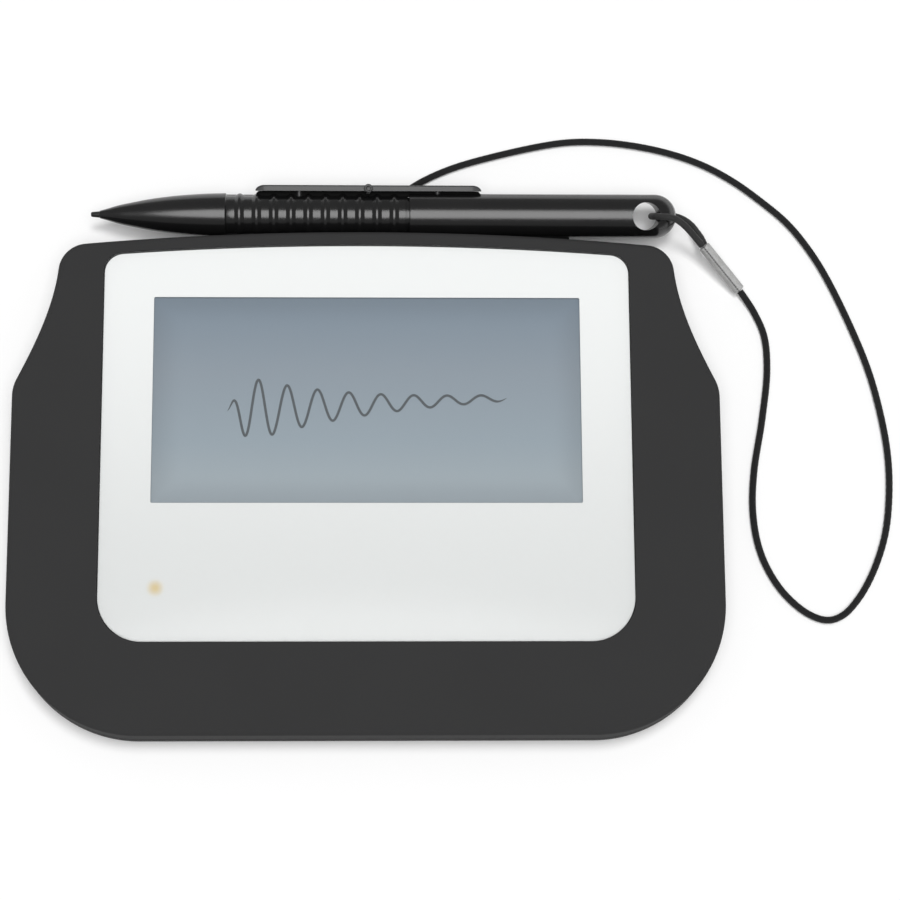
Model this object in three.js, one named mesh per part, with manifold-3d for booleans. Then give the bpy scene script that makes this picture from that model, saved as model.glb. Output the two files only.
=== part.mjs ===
// Signature pad with a display, and its pen on a tether, in millimetres with +Z up.
// x runs to the right and y to the rear. While the pieces are made, the middle of the display
// window is at x = 0 and y = 0, and z = 0 is the table. The last lines move the whole model
// in y, so that its origin is the middle of the pad and pen on the table.
import * as THREE from 'three';
import { mergeVertices } from 'three/addons/utils/BufferGeometryUtils.js';
import Module from 'manifold-3d';

const wasm = await Module();
wasm.setup();

// Display window, the white panel round it, and the dark rim round the panel
const windowWidth = 95;
const windowDepth = 47;
const panelSideMargin = 11.1;
const panelFrontMargin = 30.8;
const panelRearMargin = 12;
const panelFrontCorner = 8.9;
const panelRearCorner = 4.4;
const panelCrownRadius = 745;
const rimSide = 19.8;
const rimFront = 20.5;
const rimRear = 2.9;

// Plan of the housing: large front corners, straight sides, a shoulder, a hollow flank, a crowned rear
const frontCornerRadius = 29;
const shoulderRadius = 9;
const shoulderReach = 0.6;
const shoulderTurn = THREE.MathUtils.degToRad(26);
const shoulderStep = 9.5;
const flankLean = THREE.MathUtils.degToRad(6);
const rearCornerRadius = 6.5;
const rearCrownRadius = 690;
const housingEdge = 1.2;

// Walls and the stack of layers between the table and the top face, from below
const footLift = 0.9;
const floorThickness = 1.6;
const supportHeight = 1.5;
const shieldThickness = 0.4;
const digitizerThickness = 1;
const frameBaseThickness = 0.5;
const reflectorThickness = 0.2;
const lightGuideThickness = 1.8;
const diffuserThickness = 0.3;
const cellThickness = 1.6;
const gasketThickness = 0.35;
const filmThickness = 0.2;
const panelThickness = 1.2;
const layerGap = 0.05;
const wallThickness = 2.2;
const ledgeThickness = 1.2;
const adhesiveThickness = 0.15;
const fitGap = 0.3;
const lowerHousingHeight = 4.3;
const jointGap = 0.3;
const lipThickness = 1;
const lipHeight = 1.2;
const lipGap = 0.25;
const cutRun = 1;
const sameSpot = 0.001;

// Pen behind the rear wall, rolled so that the rocker at its rear points a little upward
const penRadius = 4.93;
const penLength = 132.5;
const penTipReach = 62.4;
const penRoll = THREE.MathUtils.degToRad(18);
const penWallGap = 0.6;
const cradleThickness = 1.03;

// Colours of the real finishes
const housingFinish = new THREE.MeshStandardMaterial({ color: 0x3a3a3a, roughness: 0.75 });
const whitePrintFinish = new THREE.MeshStandardMaterial({ color: 0xeef0ef, roughness: 0.5 });
const clearFinish = new THREE.MeshStandardMaterial({ color: 0xf4f7f7, roughness: 0.1 });
const displayFinish = new THREE.MeshStandardMaterial({ color: 0x93a3af, roughness: 0.35 });
const whitePlasticFinish = new THREE.MeshStandardMaterial({ color: 0xe6e6e2, roughness: 0.6 });
const foamFinish = new THREE.MeshStandardMaterial({ color: 0x1c1c1c, roughness: 0.95 });
const boardFinish = new THREE.MeshStandardMaterial({ color: 0x1f5a33, roughness: 0.5 });
const chipFinish = new THREE.MeshStandardMaterial({ color: 0x17181a, roughness: 0.55 });
const steelFinish = new THREE.MeshStandardMaterial({ color: 0xb9bcbe, roughness: 0.35, metalness: 1 });
const copperFinish = new THREE.MeshStandardMaterial({ color: 0xb4632f, roughness: 0.4, metalness: 1 });
const ferriteFinish = new THREE.MeshStandardMaterial({ color: 0x35353a, roughness: 0.6 });
const filmCableFinish = new THREE.MeshStandardMaterial({ color: 0xc07a2a, roughness: 0.4 });
const rubberFinish = new THREE.MeshStandardMaterial({ color: 0x202020, roughness: 0.9 });
const penFinish = new THREE.MeshStandardMaterial({ color: 0x1b1b1c, roughness: 0.35 });
const rockerFinish = new THREE.MeshStandardMaterial({ color: 0x2a2a2b, roughness: 0.45 });
const cordFinish = new THREE.MeshStandardMaterial({ color: 0x151515, roughness: 0.8 });
const sleeveFinish = new THREE.MeshStandardMaterial({ color: 0xc4c6c6, roughness: 0.3 });
const lampFinish = new THREE.MeshStandardMaterial({ color: 0xf2d9a0, roughness: 0.3 });

// Heights worked out from the stack
const floorTop = footLift + floorThickness;
const shieldBottom = floorTop + supportHeight;
const shieldTop = shieldBottom + shieldThickness;
const digitizerBottom = shieldTop + layerGap;
const digitizerTop = digitizerBottom + digitizerThickness;
const frameBottom = digitizerTop + layerGap;
const reflectorBottom = frameBottom + frameBaseThickness + layerGap;
const lightGuideBottom = reflectorBottom + reflectorThickness + layerGap;
const diffuserBottom = lightGuideBottom + lightGuideThickness + layerGap;
const cellBottom = diffuserBottom + diffuserThickness + layerGap;
const gasketBottom = cellBottom + cellThickness + layerGap;
const filmBottom = gasketBottom + gasketThickness + layerGap;
const panelBottom = filmBottom + filmThickness + layerGap;
const totalHeight = panelBottom + panelThickness;
const adhesiveBottom = filmBottom - layerGap - adhesiveThickness;
const ledgeTop = adhesiveBottom - layerGap;
const roofUnder = ledgeTop - ledgeThickness;
const splitHeight = footLift + lowerHousingHeight;
const splitBelow = splitHeight - jointGap / 2;
const splitAbove = splitHeight + jointGap / 2;

// Plan lines worked out from the window and its borders
const panelHalfWidth = windowWidth / 2 + panelSideMargin;
const panelFront = -windowDepth / 2 - panelFrontMargin;
const panelRear = windowDepth / 2 + panelRearMargin;
const halfWidth = panelHalfWidth + rimSide;
const housingFront = panelFront - rimFront;
const housingRear = panelRear + rimRear;
const rearHalfWidth = halfWidth - shoulderStep;
const penAxisY = housingRear + penWallGap + penRadius;
const penAxisZ = footLift + cradleThickness + fitGap + penRadius;

// Shapes from three.js geometry, placed by their limits
function block(x0, x1, y0, y1, z0, z1) {
  const geometry = new THREE.BoxGeometry(x1 - x0, y1 - y0, z1 - z0);
  return geometry.translate((x0 + x1) / 2, (y0 + y1) / 2, (z0 + z1) / 2);
}

function disc(radius, x, y, z0, z1, sides = 16) {
  const geometry = new THREE.CylinderGeometry(radius, radius, z1 - z0, sides);
  return geometry.rotateX(Math.PI / 2).translate(x, y, (z0 + z1) / 2);
}

// A bar along y
function bar(radius, x, z, y0, y1, sides = 12) {
  return new THREE.CylinderGeometry(radius, radius, y1 - y0, sides).translate(x, (y0 + y1) / 2, z);
}

// A bar along x
function rod(radius, y, z, x0, x1, sides = 48) {
  const geometry = new THREE.CylinderGeometry(radius, radius, x1 - x0, sides);
  return geometry.rotateZ(Math.PI / 2).translate((x0 + x1) / 2, y, z);
}

function slab(points, z0, z1, holes = []) {
  const shape = new THREE.Shape(points);
  for (const hole of holes) {
    shape.holes.push(new THREE.Path(hole));
  }
  return new THREE.ExtrudeGeometry(shape, { depth: z1 - z0, bevelEnabled: false }).translate(0, 0, z0);
}

function rectangle(x0, x1, y0, y1) {
  const corners = [[x0, y0], [x1, y0], [x1, y1], [x0, y1]];
  return corners.map(([x, y]) => new THREE.Vector2(x, y));
}

// Joins and cuts, made on closed solids
function solidOf(geometry) {
  const bare = geometry.clone();
  bare.deleteAttribute('normal');
  bare.deleteAttribute('uv');
  const merged = mergeVertices(bare);
  const triVerts = new Uint32Array(merged.index.array);
  const vertProperties = merged.attributes.position.array;
  return new wasm.Manifold(new wasm.Mesh({ numProp: 3, vertProperties, triVerts }));
}

function geometryOf(solid) {
  const mesh = solid.getMesh();
  const geometry = new THREE.BufferGeometry();
  geometry.setAttribute('position', new THREE.BufferAttribute(new Float32Array(mesh.vertProperties), 3));
  geometry.setIndex(new THREE.BufferAttribute(new Uint32Array(mesh.triVerts), 1));
  geometry.computeVertexNormals();
  return geometry;
}

function shaped(base, added = [], cut = []) {
  let solid = solidOf(base);
  for (const geometry of added) {
    solid = solid.add(solidOf(geometry));
  }
  for (const geometry of cut) {
    solid = solid.subtract(solidOf(geometry));
  }
  return geometryOf(solid);
}

const root = new THREE.Group();

function place(parent, name, geometry, finish) {
  const mesh = new THREE.Mesh(geometry, finish);
  mesh.name = name;
  parent.add(mesh);
  return mesh;
}

// Outlines in plan, each made as its right half from front to rear and then mirrored
function arcPoints(x, y, radius, from, to, steps) {
  const points = [];
  for (let i = 0; i <= steps; i += 1) {
    const angle = from + ((to - from) * i) / steps;
    points.push(new THREE.Vector2(x + radius * Math.cos(angle), y + radius * Math.sin(angle)));
  }
  return points;
}

function mirrored(half) {
  const right = [];
  for (const point of half) {
    const last = right[right.length - 1];
    if (!last || last.distanceTo(point) > sameSpot) right.push(point);
  }
  const left = right.filter((point) => point.x > sameSpot).reverse();
  return right.concat(left.map((point) => new THREE.Vector2(-point.x, point.y)));
}

// Each point moves inward along the mitre of its two edges
function inset(points, distance) {
  return points.map((point, i) => {
    const before = points[(i + points.length - 1) % points.length];
    const after = points[(i + 1) % points.length];
    const first = point.clone().sub(before).normalize();
    const second = after.clone().sub(point).normalize();
    const share = 1 + first.dot(second);
    const mitre = new THREE.Vector2(-(first.y + second.y), first.x + second.x);
    return point.clone().addScaledVector(mitre, distance / share);
  });
}

// A corner that runs into the crowned rear edge, which is an arc of its own
function crownedCorner(centreX, cornerRadius, crownRadius, rear, lean, steps) {
  const slope = Math.asin(centreX / (crownRadius - cornerRadius));
  const centreY = rear - crownRadius + (crownRadius - cornerRadius) * Math.cos(slope);
  const corner = arcPoints(centreX, centreY, cornerRadius, lean, Math.PI / 2 - slope, steps);
  const crown = arcPoints(0, rear - crownRadius, crownRadius, Math.PI / 2 - slope, Math.PI / 2, steps);
  return { corner, crown };
}

function padOutline() {
  const front = arcPoints(halfWidth - frontCornerRadius, housingFront + frontCornerRadius,
    frontCornerRadius, -Math.PI / 2, 0, 14);
  const shoulder = arcPoints(halfWidth - shoulderRadius, shoulderReach, shoulderRadius, 0, shoulderTurn, 4);
  const rearX = rearHalfWidth - rearCornerRadius * Math.cos(flankLean);
  const rear = crownedCorner(rearX, rearCornerRadius, rearCrownRadius, housingRear, flankLean, 6);
  const start = shoulder[shoulder.length - 1];
  const end = rear.corner[0];
  const reach = start.distanceTo(end) / 3;
  const leave = new THREE.Vector2(-Math.sin(shoulderTurn), Math.cos(shoulderTurn)).multiplyScalar(reach);
  const arrive = new THREE.Vector2(-Math.sin(flankLean), Math.cos(flankLean)).multiplyScalar(reach);
  const flank = new THREE.CubicBezierCurve(start, start.clone().add(leave), end.clone().sub(arrive), end);
  return mirrored([...front, ...shoulder, ...flank.getPoints(8), ...rear.corner, ...rear.crown]);
}

function panelOutline() {
  const front = arcPoints(panelHalfWidth - panelFrontCorner, panelFront + panelFrontCorner,
    panelFrontCorner, -Math.PI / 2, 0, 8);
  const rear = crownedCorner(panelHalfWidth - panelRearCorner, panelRearCorner, panelCrownRadius,
    panelRear, 0, 6);
  return mirrored([...front, ...rear.corner, ...rear.crown]);
}

const padPlan = padOutline();
const panelPlan = panelOutline();

// Both housings are cut from one body with rounded edges, at the parting line between them
const bodyHeight = totalHeight - footLift;
const housingBody = new THREE.ExtrudeGeometry(new THREE.Shape(padPlan), {
  depth: bodyHeight - 2 * housingEdge,
  bevelThickness: housingEdge,
  bevelSize: housingEdge,
  bevelOffset: -housingEdge,
  bevelSegments: 3,
}).translate(0, 0, footLift + housingEdge);
const beyond = halfWidth * 2;
const aboveSplit = block(-beyond, beyond, -beyond, beyond, splitAbove, totalHeight + cutRun);
const belowSplit = block(-beyond, beyond, -beyond, beyond, footLift - cutRun, splitBelow);
const upperBody = geometryOf(solidOf(housingBody).intersect(solidOf(aboveSplit)));
const lowerBody = geometryOf(solidOf(housingBody).intersect(solidOf(belowSplit)));

// Display: the glass cell stands up through the opening in the ledge, its frame lies below it
const cellSideMargin = 3.5;
const cellRearMargin = 2.5;
const cellFrontMargin = 6.5;
const contactLedge = 3.4;
const frameWall = 1.2;
const openingGap = 0.6;
const flexRoom = 1.9;
const cellHalf = windowWidth / 2 + cellSideMargin;
const cellRear = windowDepth / 2 + cellRearMargin;
const cellFront = -windowDepth / 2 - cellFrontMargin;
const openingHalf = cellHalf + openingGap;
const openingRear = cellRear + openingGap;
const openingFront = cellFront - openingGap - flexRoom;
const frameHalf = cellHalf + fitGap + frameWall;
const frameRear = cellRear + fitGap + frameWall;
const frameFront = cellFront - fitGap - frameWall;
const frameTop = roofUnder - layerGap;

// Digitizer board under the display, and the main board in front of it
const digitizerSideMargin = 2.5;
const digitizerMargin = 2;
const digitizerHalf = frameHalf + digitizerSideMargin;
const digitizerRear = frameRear + digitizerMargin;
const digitizerFront = frameFront - digitizerMargin;
const boardSpacing = 2;
const boardThickness = 1.6;
const boardSideMargin = 5.5;
const boardFrontMargin = 6.6;
const componentRoom = 3.1;
const boardHalf = frameHalf + boardSideMargin;
const boardRear = digitizerFront - boardSpacing;
const boardFront = housingFront + wallThickness + boardFrontMargin;
const boardTop = roofUnder - componentRoom;
const boardBottom = boardTop - boardThickness;
const tongueInset = 4.1;
const tongueWidth = 10.5;
const tongueReach = halfWidth - tongueInset;

// Case screws stand in bosses that meet at the parting line
const bossRadius = 3.2;
const bossBond = 0.5;
const pilotRadius = 1.25;
const screwRadius = 1.05;
const screwHeadRadius = 2.1;
const counterRadius = 2.5;
const counterDepth = 1.7;
const screwTipGap = 0.7;
const caseRearInsetX = 7.9;
const caseRearInsetY = 12.9;
const caseSideInset = 7.4;
const caseSideDrop = 8.6;
const caseFrontInsetX = 15;
const caseFrontInsetY = 18.5;
const caseScrewSpots = [
  ['rear', rearHalfWidth - caseRearInsetX, housingRear - caseRearInsetY],
  ['middle', halfWidth - caseSideInset, shoulderReach - caseSideDrop],
  ['front', halfWidth - caseFrontInsetX, housingFront + caseFrontInsetY],
];
const sides = [['left', -1], ['right', 1]];

// Screws that hold the main board on the floor
const boardBossRadius = 2.4;
const boardPilotRadius = 0.95;
const boardHoleRadius = 1.3;
const boardScrewRadius = 0.8;
const boardScrewHeadRadius = 1.9;
const boardScrewHead = 1.3;
const boardScrewInsetX = 6;
const boardScrewInsetY = 4;
const boardScrewSpots = [
  ['front', boardHalf - boardScrewInsetX, boardFront + boardScrewInsetY],
  ['rear', boardHalf - boardScrewInsetX, boardRear - boardScrewInsetY],
];

// Rubber feet in shallow round recesses
const footRadius = 5;
const footSeat = 0.6;
const footEdge = 0.4;
const footFrontInset = 9.8;
const footRearInset = 10.9;
const footSideInset = 31.4;
const footSpots = [
  ['front', halfWidth - footSideInset, housingFront + footFrontInset],
  ['rear', halfWidth - footSideInset, housingRear - footRearInset],
];

// Socket for the data cable, in the left wall on the tongue of the main board
const socketWidth = 7.6;
const socketHeight = 2.7;
const socketLength = 5.6;
const socketSetback = 0.8;
const socketWall = 0.35;
const socketTongue = 0.6;
const plugWidth = 11.2;
const plugRise = 1;
const plugDrop = 1.4;
const socketFace = -halfWidth + wallThickness + socketSetback;
const socketY = boardRear - tongueWidth / 2;
const socketBottom = boardTop + layerGap;
const socketTop = socketBottom + socketHeight;

// Status lamp under the white print, at the lower left of the window
const lampInsetX = 1.4;
const lampDrop = 18.95;
const lampWidth = 3.2;
const lampDepth = 1.6;
const lampHeight = 1;
const pipeRadius = 1;
const pipeFlangeRadius = 1.9;
const pipeFlange = 0.8;
const lampX = -windowWidth / 2 + lampInsetX;
const lampY = -windowDepth / 2 - lampDrop;

// Tether: a knot inside the rear wall, and a hole for the cord
const cordRadius = 0.8;
const cordHoleRadius = 1.1;
const knotRadius = 1.6;
const knotHeight = 3.3;
const lipInner = wallThickness + lipGap + lipThickness;
const knotY = housingRear - lipInner - lipGap - knotRadius;

// Cradle arms behind the rear wall carry the pen
const cradleWidth = 16;
const cradleReach = 5.9;
const cradleHeight = 3.3;
const cradleSpots = [-28, 38];

// Ribs under the shield plate, and a bare label recess in the floor
const ribWidth = 1.6;
const ribShares = [-0.85, 0, 0.85];
const labelHalf = 36;
const labelFront = -46;
const labelRear = -14;
const labelDepth = 0.3;

// Upper housing: a roof with the panel recess, the display opening, screw bosses and the plug opening
function upperHousing() {
  const hollow = slab(inset(padPlan, wallThickness), splitHeight - cutRun, roofUnder);
  const shell = shaped(upperBody, [], [hollow]);
  const bosses = [];
  const cut = [
    slab(inset(panelPlan, -fitGap), ledgeTop, totalHeight + cutRun),
    block(-openingHalf, openingHalf, openingFront, openingRear, roofUnder - cutRun, ledgeTop + cutRun),
    disc(pipeRadius + fitGap, lampX, lampY, roofUnder - cutRun, ledgeTop + cutRun),
    block(-halfWidth - cutRun, socketFace, socketY - plugWidth / 2, socketY + plugWidth / 2,
      splitBelow, socketTop + plugRise),
  ];
  for (const [, side] of sides) {
    for (const [, x, y] of caseScrewSpots) {
      bosses.push(disc(bossRadius, side * x, y, splitAbove, roofUnder + bossBond));
      cut.push(disc(pilotRadius, side * x, y, splitBelow, roofUnder - layerGap));
    }
  }
  return shaped(shell, bosses, cut);
}

// Lower housing: floor, walls with an aligning lip, bosses, ribs under the boards, and cradle arms
function lowerHousing() {
  const hollow = slab(inset(padPlan, wallThickness), floorTop, splitHeight + cutRun);
  const shell = shaped(lowerBody, [], [hollow]);
  const lipPlan = inset(padPlan, wallThickness + lipGap);
  const lipInside = inset(padPlan, lipInner);
  const bond = inset(padPlan, wallThickness / 2);
  const added = [
    slab(bond, floorTop - floorThickness / 2, splitBelow - layerGap, [lipInside]),
    slab(lipPlan, floorTop - floorThickness / 2, splitHeight + lipHeight, [lipInside]),
  ];
  const holes = [];
  for (const [, side] of sides) {
    for (const [, x, y] of caseScrewSpots) {
      added.push(disc(bossRadius, side * x, y, floorTop - bossBond, splitBelow));
      holes.push(disc(counterRadius, side * x, y, footLift - cutRun, footLift + counterDepth));
      holes.push(disc(pilotRadius + lipGap, side * x, y, footLift, splitBelow + cutRun));
    }
    for (const [, x, y] of boardScrewSpots) {
      added.push(disc(boardBossRadius, side * x, y, floorTop - bossBond, boardBottom - layerGap));
      holes.push(disc(boardPilotRadius, side * x, y, floorTop, boardBottom + cutRun));
    }
    for (const [, x, y] of footSpots) {
      holes.push(disc(footRadius + fitGap, side * x, y, footLift - cutRun, footLift + footSeat, 24));
    }
  }
  for (const share of ribShares) {
    const x = share * cellHalf;
    added.push(block(x - ribWidth / 2, x + ribWidth / 2, frameFront, frameRear,
      floorTop - bossBond, shieldBottom - layerGap));
  }
  for (const x of cradleSpots) {
    added.push(block(x - cradleWidth / 2, x + cradleWidth / 2, housingRear - wallThickness,
      penAxisY + cradleReach, footLift, footLift + cradleHeight));
  }
  const pocket = knotRadius + layerGap;
  holes.push(
    rod(penRadius + fitGap, penAxisY, penAxisZ, -halfWidth, halfWidth),
    bar(cordHoleRadius, 0, knotHeight, housingRear - lipInner - cutRun, housingRear + cutRun),
    block(-pocket, pocket, knotY - pocket, knotY + pocket, knotHeight - pocket, floorTop + cutRun),
    block(-halfWidth - cutRun, -halfWidth + lipInner + layerGap, socketY - plugWidth / 2,
      socketY + plugWidth / 2, socketBottom - plugDrop, splitHeight + lipHeight + cutRun),
    block(-labelHalf, labelHalf, labelFront, labelRear, footLift - cutRun, footLift + labelDepth),
  );
  return shaped(shell, added, holes);
}

place(root, 'upper_housing', upperHousing(), housingFinish);
place(root, 'lower_housing', lowerHousing(), housingFinish);

// White panel: a clear sheet over a white printed film, stuck to the ledge
const printEdge = 0.15;
const adhesiveInset = 1;
const pipePlan = arcPoints(lampX, lampY, pipeRadius + fitGap, 0, 2 * Math.PI, 12).slice(1);
const windowPlan = rectangle(-windowWidth / 2, windowWidth / 2, -windowDepth / 2, windowDepth / 2);
const openingPlan = rectangle(-openingHalf - adhesiveInset, openingHalf + adhesiveInset,
  openingFront - adhesiveInset, openingRear + adhesiveInset);
place(root, 'front_panel', slab(panelPlan, panelBottom, totalHeight), clearFinish);
place(root, 'white_print_film',
  slab(inset(panelPlan, printEdge), filmBottom, filmBottom + filmThickness, [windowPlan]),
  whitePrintFinish);
place(root, 'panel_adhesive',
  slab(inset(panelPlan, adhesiveInset), adhesiveBottom, adhesiveBottom + adhesiveThickness,
    [openingPlan, pipePlan]), foamFinish);

// Display parts from the top down
const gasketOverlap = 0.4;
const gasketWidth = 2.2;
const glassThickness = cellThickness / 2;
const stripWidth = 1.2;
const stripHeight = 1.6;
const stripShare = 0.8;
const gasketHole = rectangle(-windowWidth / 2 - gasketOverlap, windowWidth / 2 + gasketOverlap,
  -windowDepth / 2 - gasketOverlap, windowDepth / 2 + gasketOverlap);
const gasketPlan = rectangle(-windowWidth / 2 - gasketOverlap - gasketWidth,
  windowWidth / 2 + gasketOverlap + gasketWidth, -windowDepth / 2 - gasketOverlap - gasketWidth,
  windowDepth / 2 + gasketOverlap + gasketWidth);
place(root, 'display_gasket',
  slab(gasketPlan, gasketBottom, gasketBottom + gasketThickness, [gasketHole]), foamFinish);
const lowerGlass = block(-cellHalf, cellHalf, cellFront, cellRear, cellBottom, cellBottom + glassThickness);
const upperGlass = block(-cellHalf, cellHalf, cellFront + contactLedge, cellRear,
  cellBottom + glassThickness / 2, cellBottom + cellThickness);
place(root, 'display_cell', shaped(lowerGlass, [upperGlass]), displayFinish);
const guideLeft = -cellHalf + stripWidth + layerGap * 2;
place(root, 'light_diffuser',
  block(guideLeft, cellHalf, cellFront, cellRear, diffuserBottom, diffuserBottom + diffuserThickness),
  whitePlasticFinish);
place(root, 'light_guide',
  block(guideLeft, cellHalf, cellFront, cellRear, lightGuideBottom, lightGuideBottom + lightGuideThickness),
  clearFinish);
place(root, 'reflector_sheet',
  block(-cellHalf, cellHalf, cellFront, cellRear, reflectorBottom, reflectorBottom + reflectorThickness),
  whitePlasticFinish);
place(root, 'backlight_strip',
  block(-cellHalf, -cellHalf + stripWidth, cellFront * stripShare, cellRear * stripShare,
    lightGuideBottom, lightGuideBottom + stripHeight), whitePlasticFinish);
const frameOuter = block(-frameHalf, frameHalf, frameFront, frameRear, frameBottom, frameTop);
const frameInner = block(-cellHalf - fitGap, cellHalf + fitGap, cellFront - fitGap, cellRear + fitGap,
  frameBottom + frameBaseThickness, frameTop + cutRun);
place(root, 'display_frame', shaped(frameOuter, [], [frameInner]), whitePlasticFinish);

// Digitizer board lies in the steel shield, whose side lips hold it in place
const shieldLip = 0.4;
place(root, 'digitizer_board',
  block(-digitizerHalf, digitizerHalf, digitizerFront, digitizerRear, digitizerBottom, digitizerTop),
  boardFinish);
const shieldHalf = digitizerHalf + fitGap + shieldLip;
const shieldBase = block(-shieldHalf, shieldHalf, digitizerFront, digitizerRear, shieldBottom, shieldTop);
const shieldLips = sides.map(([, side]) => block(
  side < 0 ? -shieldHalf : shieldHalf - shieldLip, side < 0 ? -shieldHalf + shieldLip : shieldHalf,
  digitizerFront, digitizerRear, shieldBottom, digitizerTop));
place(root, 'shield_plate', shaped(shieldBase, shieldLips), steelFinish);

// Main board with its tongue to the cable socket
const boardPlan = [[-boardHalf, boardFront], [boardHalf, boardFront], [boardHalf, boardRear],
  [-tongueReach, boardRear], [-tongueReach, boardRear - tongueWidth],
  [-boardHalf, boardRear - tongueWidth]].map(([x, y]) => new THREE.Vector2(x, y));
const boardHoles = [];
for (const [, side] of sides) {
  for (const [, x, y] of boardScrewSpots) {
    boardHoles.push(arcPoints(side * x, y, boardHoleRadius, 0, 2 * Math.PI, 12).slice(1));
  }
}
place(root, 'main_board', slab(boardPlan, boardBottom, boardTop, boardHoles), boardFinish);

// Components on the main board, each at a share of the board's half width and of its depth
const boardParts = [
  { name: 'processor_chip', shares: [0.1, 0.4], size: [12, 12, 1.4], finish: chipFinish },
  { name: 'memory_chip', shares: [0.38, 0.42], size: [8, 6, 1.2], finish: chipFinish },
  { name: 'bridge_chip', shares: [-0.76, 0.52], size: [5, 5, 1], finish: chipFinish },
  { name: 'crystal', shares: [-0.12, 0.6], size: [5, 3.2, 1.3], finish: steelFinish },
];
const coilShares = [-0.5, 0.3];
const coilPartRadius = 3.2;
const coilPartHeight = 2.3;
const partBottom = boardTop + layerGap;

function onBoard([xShare, yShare]) {
  return [xShare * boardHalf, boardFront + yShare * (boardRear - boardFront)];
}

function centredBlock(x, y, width, depth, z0, z1) {
  return block(x - width / 2, x + width / 2, y - depth / 2, y + depth / 2, z0, z1);
}

for (const { name, shares, size: [width, depth, height], finish } of boardParts) {
  const [x, y] = onBoard(shares);
  place(root, name, centredBlock(x, y, width, depth, partBottom, partBottom + height), finish);
}
place(root, 'power_coil', disc(coilPartRadius, ...onBoard(coilShares), partBottom,
  partBottom + coilPartHeight, 20), ferriteFinish);

// Shield can over the pen sensing circuit, open underneath
const canShares = [0.73, 0.5];
const canWidth = 18;
const canDepth = 15;
const canHeight = 2.2;
const canWall = 0.4;
const [canX, canY] = onBoard(canShares);
const canOuter = centredBlock(canX, canY, canWidth, canDepth, partBottom, partBottom + canHeight);
const canInner = centredBlock(canX, canY, canWidth - 2 * canWall, canDepth - 2 * canWall,
  partBottom - cutRun, partBottom + canHeight - canWall);
place(root, 'shield_can', shaped(canOuter, [], [canInner]), steelFinish);

// Flat cables run from the display and from the digitizer to connectors on the main board
const connectorDepth = 4;
const connectorHeight = 1.8;
const connectorInset = 1.5;
const displayConnectorWidth = 24;
const sensorConnectorWidth = 12;
const sensorXShare = 0.52;
const flexThickness = 0.15;
const flexMargin = 1.5;
const flexBend = 0.5;
const connectorRear = boardRear - connectorInset;
const connectorY = connectorRear - connectorDepth / 2;
const sensorX = sensorXShare * boardHalf;
const flexHeight = partBottom + connectorHeight / 2;
const contactHeight = cellBottom + glassThickness + layerGap + flexThickness / 2;
const digitizerMid = (digitizerBottom + digitizerTop) / 2;
const sensorBend = digitizerFront - boardSpacing / 2;
const alongX = new THREE.Matrix4().makeBasis(new THREE.Vector3(0, 1, 0), new THREE.Vector3(0, 0, 1),
  new THREE.Vector3(1, 0, 0));

function flatCable(route, width, x) {
  const curve = new THREE.SplineCurve(route.map(([y, z]) => new THREE.Vector2(y, z)));
  const steps = route.length * 3;
  const below = [];
  const above = [];
  for (let i = 0; i <= steps; i += 1) {
    const point = curve.getPoint(i / steps);
    const ahead = curve.getTangent(i / steps);
    const across = new THREE.Vector2(-ahead.y, ahead.x).multiplyScalar(flexThickness / 2);
    below.push(point.clone().sub(across));
    above.unshift(point.clone().add(across));
  }
  const strip = new THREE.ExtrudeGeometry(new THREE.Shape([...below, ...above]), {
    depth: width,
    bevelEnabled: false,
  });
  return strip.applyMatrix4(alongX).translate(x - width / 2, 0, 0);
}

function connector(width, x) {
  return centredBlock(x, connectorY, width, connectorDepth, partBottom, partBottom + connectorHeight);
}

place(root, 'display_connector', connector(displayConnectorWidth, 0), whitePlasticFinish);
place(root, 'sensor_connector', connector(sensorConnectorWidth, sensorX), whitePlasticFinish);
place(root, 'display_flex', flatCable([
  [cellFront + contactLedge - fitGap, contactHeight],
  [frameFront + fitGap, contactHeight],
  [(frameFront + openingFront) / 2, contactHeight - flexBend],
  [openingFront, (contactHeight + flexHeight) / 2],
  [boardRear + flexBend, flexHeight + flexBend],
  [connectorRear + layerGap, flexHeight],
], displayConnectorWidth - flexMargin, 0), filmCableFinish);
place(root, 'sensor_flex', flatCable([
  [digitizerFront - layerGap, digitizerMid],
  [sensorBend + flexThickness, digitizerMid + flexThickness],
  [sensorBend, (digitizerMid + flexHeight) / 2],
  [sensorBend - flexThickness, flexHeight - flexThickness],
  [connectorRear + layerGap, flexHeight],
], sensorConnectorWidth - flexMargin, sensorX), filmCableFinish);

// Cable socket: a folded steel shell with its contact tongue
const socketX = socketFace + socketLength / 2;
const socketMid = (socketBottom + socketTop) / 2;
const socketShell = centredBlock(socketX, socketY, socketLength, socketWidth, socketBottom, socketTop);
const socketMouth = centredBlock(socketX - socketWall, socketY, socketLength,
  socketWidth - 2 * socketWall, socketBottom + socketWall, socketTop - socketWall);
const contactTongue = centredBlock(socketX, socketY, socketLength - socketWall, socketWidth / 2,
  socketMid - socketTongue / 2, socketMid + socketTongue / 2);
const socketTube = shaped(socketShell, [], [socketMouth]);
place(root, 'cable_socket', shaped(socketTube, [contactTongue]), steelFinish);

// Status lamp and the light pipe above it
const lampTop = partBottom + lampHeight;
const collarTop = roofUnder - layerGap;
const pipeStem = disc(pipeRadius, lampX, lampY, lampTop + layerGap, filmBottom - layerGap);
const pipeCollar = disc(pipeFlangeRadius, lampX, lampY, collarTop - pipeFlange, collarTop);
place(root, 'status_lamp', centredBlock(lampX, lampY, lampWidth, lampDepth, partBottom, lampTop),
  lampFinish);
place(root, 'light_pipe', shaped(pipeStem, [pipeCollar]), clearFinish);

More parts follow.
